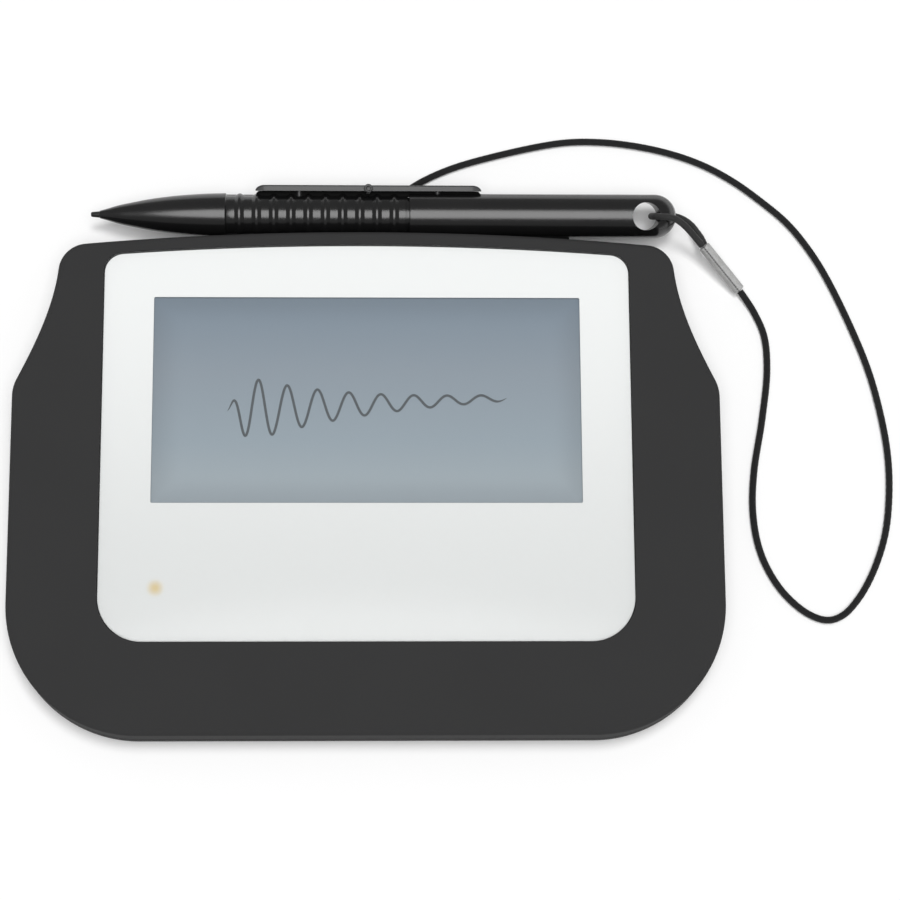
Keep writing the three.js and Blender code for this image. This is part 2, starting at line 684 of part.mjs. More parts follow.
// Case screws go in from below, board screws from above
function caseScrew(x, y) {
  const head = disc(screwHeadRadius, x, y, footLift + layerGap, footLift + counterDepth - layerGap);
  const shank = disc(screwRadius, x, y, footLift + counterDepth / 2, roofUnder - screwTipGap, 12);
  const driveHole = disc(screwRadius, x, y, footLift - cutRun, footLift + counterDepth / 3, 6);
  return shaped(head, [shank], [driveHole]);
}

function boardScrew(x, y) {
  const headTop = partBottom + boardScrewHead;
  const head = disc(boardScrewHeadRadius, x, y, partBottom, headTop, 12);
  const shank = disc(boardScrewRadius, x, y, floorTop + layerGap, (partBottom + headTop) / 2, 12);
  const driveHole = disc(boardScrewRadius, x, y, (partBottom + headTop) / 2, headTop + cutRun, 6);
  return shaped(head, [shank], [driveHole]);
}

function foot(x, y) {
  const top = footLift + footSeat - layerGap;
  const profile = [[0, 0], [footRadius - footEdge, 0], [footRadius, footEdge], [footRadius, top],
    [0, top]].map(([radius, z]) => new THREE.Vector2(radius, z));
  return new THREE.LatheGeometry(profile, 24).rotateX(Math.PI / 2).translate(x, y, 0);
}

for (const [sideName, side] of sides) {
  for (const [spot, x, y] of caseScrewSpots) {
    place(root, `case_screw_${spot}_${sideName}`, caseScrew(side * x, y), steelFinish);
  }
  for (const [spot, x, y] of boardScrewSpots) {
    place(root, `board_screw_${spot}_${sideName}`, boardScrew(side * x, y), steelFinish);
  }
  for (const [spot, x, y] of footSpots) {
    place(root, `foot_${spot}_${sideName}`, foot(side * x, y), rubberFinish);
  }
}

// Pen: shares of the nose give its curve, and ribs ring the grip behind it
const noseLength = 30.3;
const noseTip = 2;
const gripStart = 30.7;
const gripEnd = 71.1;
const grooveWidth = 0.8;
const landDrop = 0.53;
const ribFirst = 33.6;
const ribPitch = 3.873;
const ribEndMargin = 2.4;
const ribHalf = 0.42;
const ribSlope = 0.14;
const ribDrop = 0.06;
const noseShares = [[0.12, 0.265], [0.21, 0.43], [0.32, 0.575], [0.42, 0.695], [0.52, 0.79],
  [0.62, 0.865], [0.72, 0.92], [0.86, 0.975], [1, 1]];
const nibRadius = 0.6;
const nibGap = 0.15;
const noseTipRadius = 0.87;
const nibHoleEnd = 13;
const coreRadius = 2;
const coreSeatEnd = 15.5;
const coilRoomEnd = 27;
const coilRoomRadius = 2.85;
const tubeRadius = 3.5;
const spigotLength = 7.1;
const spigotGap = 0.2;
const spigotBore = 2.55;
const collarRadius = 4;
const boreEnd = 112;
const rearBore = 3.6;
const lanyardReach = 125.6;
const lanyardRadius = 3.15;
const penSides = 24;

// Side rocker on the rear of the pen, and the two switches under it
const pivotInset = 8.45;
const pivotOffset = 5.25;
const rockerHalf = 25.5;
const rockerUnder = 0.55;
const rockerTop = 1.85;
const rockerWidth = 4.6;
const rockerTaper = 2;
const rockerNub = 0.3;
const nubRadius = 1.5;
const pinRadius = 0.4;
const pinGap = 0.15;
const postRadius = 0.75;
const postGap = 0.4;
const switchOffset = 15.65;
const switchHeight = 1.4;
const switchLength = 4;
const switchWidth = 3;
const plungerHeight = 0.3;
const plungerRadius = 0.8;
const pressGap = 0.3;
const bossHalf = 1.15;
const bossHalfWidth = 1.2;
const bossRise = 0.7;
const penBoardThickness = 0.8;
const penBoardLow = 0.3;
const penBoardHalf = 2.1;
const penBoardStart = 31.6;
const penBoardTail = 3.7;

// Places along the pen and radii, worked out from the sizes above
const barrelStart = gripEnd + grooveWidth;
const spigotStart = gripEnd - spigotLength;
const pivotReach = gripEnd - pivotInset;
const penBoardEnd = pivotReach + switchOffset + penBoardTail;
const ribCount = 1 + Math.floor((gripEnd - ribEndMargin - ribFirst) / ribPitch);
const landRadius = penRadius - landDrop;
const penBoardHigh = penBoardLow + penBoardThickness;
const switchLow = penBoardHigh + layerGap;
const plungerTop = switchLow + switchHeight + plungerHeight;
const rockerLow = penRadius + rockerUnder;
const rockerHigh = penRadius + rockerTop;
const rockerMid = (rockerLow + rockerHigh) / 2;

// Pen parts are turned about the pen's axis, which runs along x from the tip
const pen = new THREE.Group();
pen.position.set(-penTipReach, penAxisY, penAxisZ);
pen.rotation.x = penRoll;
root.add(pen);

function turned(profile, segments) {
  const points = profile.map(([along, radius]) => new THREE.Vector2(radius, along));
  return new THREE.LatheGeometry(points, segments).rotateZ(-Math.PI / 2);
}

function frontBarrel() {
  const profile = [[noseTip, noseTipRadius]];
  for (const [along, radius] of noseShares) {
    profile.push([along * noseLength, radius * penRadius]);
  }
  profile.push([gripStart, landRadius]);
  for (let i = 0; i < ribCount; i += 1) {
    const middle = ribFirst + ribPitch * i;
    profile.push([middle - ribHalf - ribSlope, landRadius]);
    profile.push([middle - ribHalf, penRadius - ribDrop]);
    profile.push([middle + ribHalf, penRadius - ribDrop]);
    profile.push([middle + ribHalf + ribSlope, landRadius]);
  }
  profile.push([gripEnd, landRadius], [gripEnd, tubeRadius], [coilRoomEnd, tubeRadius]);
  profile.push([coilRoomEnd, coilRoomRadius], [coreSeatEnd, coilRoomRadius]);
  profile.push([coreSeatEnd, coreRadius + spigotGap], [nibHoleEnd, coreRadius + spigotGap]);
  profile.push([nibHoleEnd, nibRadius + nibGap], [noseTip, nibRadius + nibGap], [noseTip, noseTipRadius]);
  const boss = block(pivotReach - bossHalf, pivotReach + bossHalf, collarRadius,
    pivotOffset + bossRise, -bossHalfWidth, bossHalfWidth);
  const pinHole = disc(pinRadius + pinGap, pivotReach, pivotOffset, -rockerWidth, rockerWidth, 12);
  const postHole = bar(postRadius + postGap, pivotReach - switchOffset, 0, tubeRadius / 2,
    penRadius + cutRun);
  return shaped(turned(profile, penSides), [boss], [pinHole, postHole]);
}

function rearBarrel() {
  const domeStart = penLength - penRadius;
  const profile = [[spigotStart, spigotBore], [spigotStart, tubeRadius - spigotGap],
    [gripEnd + layerGap, tubeRadius - spigotGap], [gripEnd + layerGap, collarRadius],
    [barrelStart, collarRadius], [barrelStart, penRadius]];
  for (const { x, y } of arcPoints(0, domeStart, penRadius, 0, Math.PI / 2, 6).slice(0, -1)) {
    profile.push([y, x]);
  }
  profile.push([penLength, 0], [boreEnd, 0], [boreEnd, rearBore], [barrelStart, rearBore]);
  profile.push([barrelStart, spigotBore], [spigotStart, spigotBore]);
  const lanyardHole = disc(lanyardRadius, lanyardReach, 0, -penRadius - cutRun, penRadius + cutRun, 24);
  const postHole = bar(postRadius + postGap, pivotReach + switchOffset, 0, rearBore / 2,
    penRadius + cutRun);
  return shaped(turned(profile, penSides), [], [lanyardHole, postHole]);
}

place(pen, 'pen_front_barrel', frontBarrel(), penFinish);
place(pen, 'pen_rear_barrel', rearBarrel(), penFinish);

// Nib slides in the nose and presses on the sensor behind it
const nibEnd = 26.3;
const nibTipRadius = 0.35;
const sensorEnd = 31.3;
const sensorStart = coilRoomEnd + layerGap;
const sensorRadius = tubeRadius - spigotGap;
const coreStart = nibHoleEnd + spigotGap;
const coreEnd = 25.6;
const coreBore = 0.9;
const coilStart = 15.8;
const coilEnd = 24.8;
const coilRadius = 2.6;
const coilBore = coreRadius + layerGap;

place(pen, 'nib', turned([
  [0, 0], [layerGap, nibTipRadius], [nibTipRadius, nibRadius], [nibEnd, nibRadius], [nibEnd, 0],
], 12), rubberFinish);
place(pen, 'ferrite_core', turned([
  [coreStart, coreBore], [coreStart, coreRadius], [coreEnd, coreRadius], [coreEnd, coreBore],
  [coreStart, coreBore],
], 16), ferriteFinish);
place(pen, 'pen_coil', turned([
  [coilStart, coilBore], [coilStart, coilRadius], [coilEnd, coilRadius], [coilEnd, coilBore],
  [coilStart, coilBore],
], 16), copperFinish);
place(pen, 'pressure_sensor', turned([
  [sensorStart, 0], [sensorStart, sensorRadius], [sensorEnd, sensorRadius], [sensorEnd, 0],
], 16), chipFinish);
place(pen, 'pen_board', block(penBoardStart, penBoardEnd, penBoardLow, penBoardHigh,
  -penBoardHalf, penBoardHalf), boardFinish);
for (const [name, side] of [['side_switch_front', -1], ['side_switch_rear', 1]]) {
  const along = pivotReach + side * switchOffset;
  const body = block(along - switchLength / 2, along + switchLength / 2, switchLow,
    switchLow + switchHeight, -switchWidth / 2, switchWidth / 2);
  const plunger = bar(plungerRadius, along, 0, switchLow + switchHeight / 2, plungerTop);
  place(pen, name, shaped(body, [plunger]), chipFinish);
}

// Rocker: a bar on a pin, with a nub in its middle and a post over each switch
function rockerBar() {
  const left = pivotReach - rockerHalf;
  const right = pivotReach + rockerHalf;
  const plan = [
    [left, rockerLow], [right, rockerLow], [right - rockerTaper / 4, rockerMid],
    [right - rockerTaper, rockerHigh], [left + rockerTaper, rockerHigh],
    [left + rockerTaper / 4, rockerMid],
  ].map(([x, y]) => new THREE.Vector2(x, y));
  const skirtHalf = bossHalf + fitGap;
  const skirtLow = pivotOffset - pinRadius - 2 * pinGap;
  const nubPlan = arcPoints(pivotReach, rockerHigh + rockerNub - nubRadius, nubRadius, 0, Math.PI, 10);
  const added = [
    slab(nubPlan, -rockerWidth / 2, rockerWidth / 2),
    block(pivotReach - skirtHalf, pivotReach + skirtHalf, skirtLow, rockerMid, -rockerWidth / 2,
      rockerWidth / 2),
  ];
  for (const side of [-1, 1]) {
    added.push(bar(postRadius, pivotReach + side * switchOffset, 0, plungerTop + pressGap, rockerMid));
  }
  const cut = [
    block(pivotReach - skirtHalf - fitGap, pivotReach + skirtHalf + fitGap, skirtLow - cutRun,
      pivotOffset + bossRise + fitGap, -bossHalfWidth - fitGap, bossHalfWidth + fitGap),
    disc(pinRadius + pinGap, pivotReach, pivotOffset, -rockerWidth, rockerWidth, 12),
  ];
  return shaped(slab(plan, -rockerWidth / 2, rockerWidth / 2), added, cut);
}

place(pen, 'rocker', rockerBar(), rockerFinish);
place(pen, 'rocker_pin', disc(pinRadius, pivotReach, pivotOffset, pinGap - rockerWidth / 2,
  rockerWidth / 2 - pinGap, 12), steelFinish);

// Tether: knot, cord on the table, sleeve, and the loop through the pen's tail
const cordSides = 8;
const sleeveRadius = 1.35;
const cordPoints = [
  [0, 35.1, 3.3], [0, 38.6, 3.2], [0.4, 40.4, 2.45], [1.4, 42.6, 1.45], [3.3, 46, 0.95], [6.6, 50, 0.85],
  [11.4, 53.7, 0.85], [17.5, 57, 0.85], [25.5, 59.9, 0.85], [44.5, 63.8, 0.85], [54, 63.9, 0.85],
  [63, 62.8, 0.85], [70.8, 61, 0.85], [77.6, 58.2, 0.85], [84.1, 54.3, 0.85], [90.2, 49.6, 0.85],
  [96, 44, 0.85], [101.2, 37.4, 0.85], [105.8, 29.5, 0.85], [113.4, 11.8, 0.85], [116.2, 1, 0.85],
  [117.7, -10, 0.85], [117.6, -19.5, 0.85], [116, -28.6, 0.85], [112.8, -37, 0.85], [109.2, -43, 0.85],
  [105.6, -46.7, 0.85], [102.3, -47.8, 0.85], [98.2, -46.3, 0.85], [93.2, -41.9, 0.85],
  [89.4, -36.2, 0.85], [87.2, -30.2, 0.85], [86.4, -22.5, 0.85], [87, -14, 0.85], [89.2, -2, 0.85],
  [90.7, 9.5, 0.85], [90.3, 17.5, 0.85], [88.3, 22.8, 0.87], [86.3, 26.1, 1.25], [85, 27.85, 1.75],
];
const sleeveEnds = [[76.4, 37.1, 6.5], [84.8, 28.1, 1.9]];
const loopPoints = [
  [75.9, 36.9, 7.4], [74.8, 38, 8.2], [73.6, 39, 9.3], [72.2, 40, 10.7], [70.8, 40.8, 12],
  [69.3, 41.4, 13], [67.9, 41.7, 13.35], [66.4, 42, 12.95], [65.3, 42.4, 11.85], [64.9, 42.9, 10.35],
  [64.85, 43.9, 7.2], [64.85, 44.8, 4.6], [65.2, 45.3, 3.05], [66.1, 45.7, 1.75], [67.5, 45.95, 1.05],
  [69.2, 46.1, 0.85], [71, 45.9, 0.9], [72.7, 45, 1.35], [74.2, 43.4, 2.3], [75.3, 41.3, 3.6],
  [76.1, 39.4, 4.9], [76.5, 37.9, 5.8],
];

function tube(points, radius, segments, steps) {
  const path = new THREE.CatmullRomCurve3(points.map(([x, y, z]) => new THREE.Vector3(x, y, z)));
  const ring = arcPoints(0, 0, radius, 0, 2 * Math.PI, segments).slice(1);
  return new THREE.ExtrudeGeometry(new THREE.Shape(ring), { extrudePath: path, steps });
}

place(root, 'tether_knot', new THREE.SphereGeometry(knotRadius, 12, 8).translate(0, knotY, knotHeight),
  cordFinish);
place(root, 'tether_cord', tube(cordPoints, cordRadius, cordSides, 80), cordFinish);
place(root, 'tether_sleeve', tube(sleeveEnds, sleeveRadius, 12, 1), sleeveFinish);
place(root, 'tether_loop', tube(loopPoints, cordRadius, cordSides, 32), cordFinish);

// The origin is the middle of the pad and pen, on the table
const penRear = penAxisY + (rockerHigh + rockerNub) * Math.cos(penRoll)
  + rockerWidth / 2 * Math.sin(penRoll);
root.position.y = -(housingFront + penRear) / 2;
export default root;
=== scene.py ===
# Signature pad with a pen on a tether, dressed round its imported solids.
# Sizes are in millimetres and become metres where a mesh is made; +X right, +Y rear, +Z up.
import math

import bmesh
import bpy
import numpy as np
from mathutils import Matrix, Vector


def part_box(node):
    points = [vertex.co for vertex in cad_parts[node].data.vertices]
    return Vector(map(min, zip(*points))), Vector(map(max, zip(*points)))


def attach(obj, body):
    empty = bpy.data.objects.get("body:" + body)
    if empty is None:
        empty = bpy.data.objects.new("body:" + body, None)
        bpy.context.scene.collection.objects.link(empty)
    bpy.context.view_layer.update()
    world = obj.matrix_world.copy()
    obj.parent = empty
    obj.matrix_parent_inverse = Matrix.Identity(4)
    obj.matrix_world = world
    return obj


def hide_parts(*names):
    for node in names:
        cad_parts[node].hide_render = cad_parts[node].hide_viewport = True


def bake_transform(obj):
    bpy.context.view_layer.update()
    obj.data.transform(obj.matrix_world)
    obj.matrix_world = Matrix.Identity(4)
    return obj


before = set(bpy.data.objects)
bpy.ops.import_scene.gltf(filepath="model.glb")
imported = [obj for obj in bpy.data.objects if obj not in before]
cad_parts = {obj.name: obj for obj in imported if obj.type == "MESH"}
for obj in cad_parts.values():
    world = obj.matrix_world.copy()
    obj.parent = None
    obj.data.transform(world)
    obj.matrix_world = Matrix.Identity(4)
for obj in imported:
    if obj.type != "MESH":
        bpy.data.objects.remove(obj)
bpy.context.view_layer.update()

# Camera: a long lens that looks down on the pad from the front, as in the photo.
# Nothing is shifted, so that other views only turn the camera round the object.
camera_data = bpy.data.cameras.new("camera")
camera_data.sensor_width = 36
camera_data.lens = 109.57
camera = bpy.data.objects.new("camera", camera_data)
camera.location = (-0.000438, -0.139731, 0.598986)
camera.rotation_euler = (0.233568, -0.0302855, -0.0064115)
bpy.context.scene.collection.objects.link(camera)
bpy.context.scene.camera = camera


# Tether cord: a thin black braided cord that leaves the rear wall under the pen, lies on the
# table in a wide loop and comes back up to the sleeve. Its last stretch rises up to the pen.
mm = 0.001
weld = 0.002 * mm


def box_of(node):
    """The low and high corners of a CAD node, in millimetres."""
    return [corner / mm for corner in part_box(node)]


panel_low, panel_high = box_of("front_panel")
window_to_panel_front = 54.3
window_y = panel_low.y + window_to_panel_front
cord_radius = 0.8
lying = 0.85
cord_points = [
    (0, 35.1, 3.3), (0, 38.6, 3.2), (0.4, 40.4, 2.45), (1.4, 42.6, 1.45), (3.3, 46, 0.95),
    (6.6, 49.9, lying), (11.4, 53.5, lying), (17.5, 56.6, lying), (25.5, 59.35, lying),
    (44.5, 63.65, lying), (54, 63.9, lying), (63, 62.8, lying), (70.8, 60.9, lying),
    (77.6, 58.3, lying), (84.2, 54.55, lying), (90.4, 49.85, lying), (96.5, 44.35, lying),
    (101.55, 37.6, lying), (105.95, 29.5, lying), (113.05, 11.8, lying), (115.8, 1, lying),
    (117.35, -10, lying), (117.3, -19.5, lying), (116, -28.6, lying), (113, -37, lying),
    (109.45, -43.1, lying), (105.75, -46.9, lying), (102.3, -48, lying), (98.05, -46.6, lying),
    (92.9, -42.1, lying), (89.2, -36.2, lying), (87.2, -30.2, lying), (86.4, -22.5, lying),
    (87, -14, lying), (89.2, -2, lying), (90.7, 9.5, lying), (90.3, 17.5, lying), (88.3, 22.8, 0.87),
    (86.3, 26.1, 1.25), (85, 27.85, 1.75),
]


class Shade:
    """A shader socket: operators on it add Math nodes, and node() adds any other node."""

    def __init__(self, tree, socket=None):
        self.tree = tree
        self.socket = socket

    def feed(self, socket, value):
        if isinstance(value, Shade):
            self.tree.links.new(value.socket, socket)
        elif isinstance(value, tuple) and socket.type == "RGBA":
            socket.default_value = (*value, 1)
        else:
            socket.default_value = value

    def node(self, kind, settings, values, output=0):
        made = self.tree.nodes.new("ShaderNode" + kind)
        for name, value in settings.items():
            if name == "stops":
                elements = made.color_ramp.elements
                while len(elements) < len(value):
                    elements.new(0.5)
                for element, (position, colour) in zip(elements, value):
                    element.position = position
                    element.color = (*colour, 1)
            else:
                setattr(made, name, value)
        for name, value in values.items():
            self.feed(made.inputs[name], value)
        return Shade(self.tree, made.outputs[output])

    def maths(self, operation, *values):
        return self.node("Math", {"operation": operation}, dict(enumerate(values)))

    def __add__(self, other):
        return self.maths("ADD", self, other)

    def __sub__(self, other):
        return self.maths("SUBTRACT", self, other)

    def __rsub__(self, other):
        return self.maths("SUBTRACT", other, self)

    def __mul__(self, other):
        return self.maths("MULTIPLY", self, other)

    def __truediv__(self, other):
        return self.maths("DIVIDE", self, other)

    __radd__ = __add__
    __rmul__ = __mul__


def finish(name, plain):
    """A material, the start of its expressions and its surface sockets, with the plain values set."""
    material = bpy.data.materials.new(name)
    material.use_nodes = True
    surface = material.node_tree.nodes["Principled BSDF"].inputs
    shade = Shade(material.node_tree)
    for socket, value in plain.items():
        shade.feed(surface[socket], value)
    return material, shade, surface


def mixed(share, first, second):
    return share.node("Mix", {"data_type": "RGBA"}, {0: share, 6: first, 7: second}, 2)


def object_place(shade):
    return shade.node("TexCoord", {}, {}, "Object")


def grain(shade, scale, detail=2.0):
    return shade.node("TexNoise", {}, {"Vector": object_place(shade), "Scale": scale, "Detail": detail})


def bumped(height, depth, strength=1.0):
    return height.node("Bump", {}, {"Height": height, "Distance": depth * mm, "Strength": strength})


def smooth_line(points, spacing, samples=24):
    """Even steps along a centripetal curve through the points, and the curve's length."""
    points = np.array(points, float)
    points = np.vstack((2 * points[0] - points[1], points, 2 * points[-1] - points[-2]))
    line = []
    for spot in range(len(points) - 3):
        corners = points[spot:spot + 4]
        knots = np.cumsum([0, *np.sqrt(np.linalg.norm(np.diff(corners, axis=0), axis=1))])
        t = np.linspace(knots[1], knots[2], samples, endpoint=False)[:, None]
        level = [((knots[i + 1] - t) * corners[i] + (t - knots[i]) * corners[i + 1])
                 / (knots[i + 1] - knots[i]) for i in range(3)]
        upper = [((knots[i + 2] - t) * level[i] + (t - knots[i]) * level[i + 1])
                 / (knots[i + 2] - knots[i]) for i in range(2)]
        line.append(((knots[2] - t) * upper[0] + (t - knots[1]) * upper[1]) / (knots[2] - knots[1]))
    line = np.vstack((*line, points[-2]))
    along = np.cumsum([0, *np.linalg.norm(np.diff(line, axis=0), axis=1)])
    wanted = np.linspace(0, along[-1], round(along[-1] / spacing) + 1)
    return np.column_stack([np.interp(wanted, along, axis) for axis in line.T]), along[-1]


def sweep(line, reach):
    """Rings round a line: reach holds a radius for each point of the line and each step round it."""
    ahead = np.gradient(line, axis=0)
    ahead /= np.linalg.norm(ahead, axis=1)[:, None]
    side = np.cross(ahead[0], (0.3, 0.2, 1))
    sideways = []
    for step in ahead:
        side = side - side.dot(step) * step
        side = side / np.linalg.norm(side)
        sideways.append(side)
    sideways = np.array(sideways)[:, None]
    upward = np.cross(ahead[:, None], sideways)
    angle = np.linspace(0, 2 * np.pi, reach.shape[1], endpoint=False)[None, :, None]
    return line[:, None] + reach[..., None] * (np.cos(angle) * sideways + np.sin(angle) * upward)


braid_lay = 6.0


def braided(line, radius, spacing, sides=20, depth=0.1):
    """Rings of a round braid: four strands each way, each over two and under two."""
    angle = np.linspace(0, 2 * np.pi, sides, endpoint=False)[None]
    run = (np.arange(len(line)) * spacing)[:, None] / braid_lay * 2 * np.pi
    over = 0.5 + 0.5 * np.sin(2 * (angle + run)) * np.sin(2 * (angle - run))
    right = np.abs(np.cos(2 * (angle + run))) * (1 - 0.6 * over)
    left = np.abs(np.cos(2 * (angle - run))) * (0.4 + 0.6 * over)
    return sweep(line, radius - depth + depth * np.maximum(right, left))


def tube_mesh(name, rings, material, pitch, first=0, ends=(True, True)):
    """A tube through rings of points; its map has the turn along u and the run along v."""
    count, sides = rings.shape[:2]
    faces, turns = [], []
    for row in range(count - 1):
        for k in range(sides):
            after = (k + 1) % sides
            faces.append((row * sides + k, row * sides + after, (row + 1) * sides + after,
                          (row + 1) * sides + k))
            turns += [(k, row), (k + 1, row), (k + 1, row + 1), (k, row + 1)]
    for closed, row, order in ((ends[0], 0, range(sides - 1, -1, -1)), (ends[1], count - 1, range(sides))):
        if closed:
            faces.append([row * sides + k for k in order])
            turns += [(k, row) for k in order]
    data = bpy.data.meshes.new(name)
    data.from_pydata((rings.reshape(-1, 3) * mm).tolist(), [], faces)
    unwrapped = data.uv_layers.new(name="turn_and_run")
    for spot, (turn, row) in zip(unwrapped.data, turns):
        spot.uv = (turn / sides, (row + first) * pitch)
    data.shade_smooth()
    data.materials.append(material)
    made = bpy.data.objects.new(name, data)
    bpy.context.scene.collection.objects.link(made)
    return made


def joined(piece, others):
    bpy.ops.object.select_all(action="DESELECT")
    for other in (*others, piece):
        other.select_set(True)
    bpy.context.view_layer.objects.active = piece
    bpy.ops.object.join()


def black_braid(name, pale):
    """Black polyester thread: fine slanting lines and a fuzz toward the pale colour; a grey pale is a painted
    sheen.
    """
    material, shade, surface = finish(name, {"Specular IOR Level": 0.3, "Sheen Weight": 0.1,
                                             "Sheen Roughness": 0.4})
    turn_and_run = shade.node("UVMap", {"uv_map": "turn_and_run"}, {})
    threads = shade.node("TexWave", {"bands_direction": "DIAGONAL"},
                         {"Vector": turn_and_run, "Scale": 14.0, "Distortion": 0.6, "Detail": 1.0})
    fuzz = grain(shade, 5200.0, 3.0)
    shade.feed(surface["Base Color"], mixed(threads * 0.6 + fuzz * 0.4, (0.004, 0.004, 0.004), pale))
    shade.feed(surface["Roughness"], 0.62 + fuzz * 0.25)
    shade.feed(surface["Normal"], bumped(threads + fuzz * 0.5, 0.04, 0.7))
    return material


braid = black_braid("braid", (0.02, 0.02, 0.021))

beside_window = np.array((0, window_y, 0))
cord_step = 0.3
cord_line, cord_length = smooth_line(np.array(cord_points) + beside_window, cord_step)
cord_rings = braided(cord_line, cord_radius, cord_step)
cord_pitch = cord_step / braid_lay
far_turn, rising_x = 600, 89.4
rising = next(i for i, point in enumerate(cord_line) if i > far_turn and point[0] < rising_x)
cord = tube_mesh("tether_cord_braid", cord_rings[rising:], braid, cord_pitch, rising, (False, True))
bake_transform(cord)
joined(cord, [tube_mesh("lying_run", cord_rings[:rising + 1], braid, cord_pitch, 0, (True, False))])
work = bmesh.new()
work.from_mesh(cord.data)
bmesh.ops.remove_doubles(work, verts=work.verts, dist=weld)
work.to_mesh(cord.data)
work.free()
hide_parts("tether_cord")


# Tether loop: the same cord, doubled through the cross hole in the pen's tail and back into
# the sleeve. It goes up through the hole and over the tail. Its braid is painted a paler grey
# all along, a painted sheen.
loop_points = [
    (75.9, 36.9, 7.4), (74.8, 38, 8.2), (73.6, 39, 9.3), (72.2, 40, 10.7), (70.8, 40.8, 12),
    (69.3, 41.4, 13), (67.9, 41.7, 13.35), (66.4, 42, 12.95), (65.3, 42.4, 11.85), (64.9, 42.9, 10.35),
    (64.85, 43.9, 7.2), (64.85, 44.8, 4.6), (65.2, 45.3, 3.05), (66.1, 45.7, 1.75), (67.5, 45.95, 1.05),
    (69.2, 46.1, lying), (71, 45.9, 0.9), (72.7, 45, 1.35), (74.2, 43.4, 2.3), (75.3, 41.3, 3.6),
    (76.1, 39.4, 4.9), (76.5, 37.9, 5.8),
]
loop_step = 0.2
loop_line, loop_length = smooth_line(np.array(loop_points) + beside_window, loop_step)
# Painted sheen: the loop's fuzz is a paler grey than the cord's.
sheen_painted_braid = black_braid("sheen_painted_braid", (0.06, 0.06, 0.06))
loop = tube_mesh("tether_loop_braid", braided(loop_line, cord_radius, loop_step, 24), sheen_painted_braid,
                 loop_step / braid_lay)
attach(loop, "pen")
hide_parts("tether_loop")


# Sleeve: a pale grey plastic ferrule, rolled round both strands of the loop and the cord's end
# and pressed shut. Its seam shows as a row of small dark pinches along it.
def axes(vector):
    split = vector.node("SeparateXYZ", {}, {"Vector": vector})
    return [Shade(vector.tree, socket) for socket in split.socket.node.outputs]


sleeve_ends = [(76.4, 37.1, 6.5), (84.8, 28.1, 1.9)]
sleeve_radius = 1.35
sleeve_round = 0.35
sleeve_step = 0.1
seam_turn = 0.885
seam_pitch = 0.62
seam_depth, seam_width, pinch_depth = 0.06, 0.16, 0.07
sleeve_line, sleeve_length = smooth_line(np.array(sleeve_ends) + beside_window, sleeve_step)
run = np.linspace(0, sleeve_length, len(sleeve_line))[:, None]
edge = np.minimum(np.minimum(run, sleeve_length - run), sleeve_round)
taper = sleeve_round - np.sqrt(sleeve_round ** 2 - (sleeve_round - edge) ** 2)
turn = np.linspace(0, 1, 72, endpoint=False)[None]
away = np.abs((turn - seam_turn + 0.5) % 1 - 0.5) * 2 * np.pi * sleeve_radius
pinch = seam_depth + pinch_depth * (1 + np.cos(2 * np.pi * run / seam_pitch))
sleeve_reach = sleeve_radius - 0.02 - taper - pinch * np.exp(-(away / seam_width) ** 2)
pale_plastic, shade, surface = finish("pale_plastic", {"Specular IOR Level": 0.55})
cloud = grain(shade, 700.0, 3.0)
turn, run, _ = axes(shade.node("UVMap", {"uv_map": "turn_and_run"}, {}))
near_seam = 1 - shade.maths("MINIMUM", shade.maths("ABSOLUTE", turn - seam_turn) * 28, 1.0)
stitch = 0.6 + shade.maths("GREATER_THAN", shade.maths("COSINE", run * (2 * math.pi / seam_pitch)), 0) * 0.4
speckle = shade.maths("GREATER_THAN", grain(shade, 5500.0, 1.0), 0.52)
grey = mixed(cloud * 0.6 + speckle * 0.4, (0.29, 0.29, 0.286), (0.54, 0.54, 0.535))
shade.feed(surface["Base Color"], mixed(near_seam * stitch, grey, (0.02, 0.02, 0.02)))
shade.feed(surface["Roughness"], 0.3 + cloud * 0.2)
shade.feed(surface["Normal"], bumped(cloud, 0.03, 0.5))
sleeve = tube_mesh("crimp_sleeve", sweep(sleeve_line, sleeve_reach), pale_plastic, sleeve_step)
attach(sleeve, "pen")
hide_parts("tether_sleeve")


# Knot: the cord's other end is tied in a tight overhand knot inside the rear wall, which keeps
# the cord from pulling out. It is the same braid, drawn tight.
knot_low, knot_high = box_of("tether_knot")
knot_scale, knot_strand, knot_step = 0.31, 0.62, 0.1
t = np.linspace(0, 2 * np.pi, 121)
knot_line = knot_scale * np.column_stack((np.sin(t) + 2 * np.sin(2 * t), np.cos(t) - 2 * np.cos(2 * t),
                                          -1.4 * np.sin(3 * t)))
knot_line += (knot_low + knot_high) / 2
knot = tube_mesh("tether_knot_braid", braided(knot_line, knot_strand, knot_step, 12), braid,
                 knot_step / braid_lay)
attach(knot, "pad")
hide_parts("tether_knot")

pad_low, pad_high = box_of("upper_housing")


# Upper housing: injection-moulded dark grey plastic with a fine matt grain and a rounded edge.
# A recess in its top takes the panel, and screw bosses stand under its roof.
half_width = pad_high.x
split_top = 5.35
ledge_top = 10.3
roof_under = 9.1
wall = 2.2
edge_round = 1.2
split_chamfer = 0.14
support = 0.06
panel_gap = 0.14
recess_round = 0.12
case_boss, case_bore, pipe_bore = 3.2, 1.25, 1.3
sunk = 0.2


def arc(x, y, radius, start, end, steps):
    angle = np.linspace(start, end, steps + 1)
    return np.column_stack((x + radius * np.cos(angle), y + radius * np.sin(angle)))


def crowned_corner(x, radius, crown, rear, lean):
    """A rear corner that runs into the shallow arc of the rear edge."""
    slope = math.asin(x / (crown - radius))
    y = rear - crown + (crown - radius) * math.cos(slope)
    corner = arc(x, y, radius, lean, math.pi / 2 - slope, 20)
    return np.vstack((corner, arc(0, rear - crown, crown, math.pi / 2 - slope, math.pi / 2, 16)[1:]))


def mirrored(half):
    kept = half[np.append(True, np.linalg.norm(np.diff(half, axis=0), axis=1) > 0.001)]
    return np.vstack((kept, (kept[kept[:, 0] > 0.001] * (-1, 1))[::-1]))


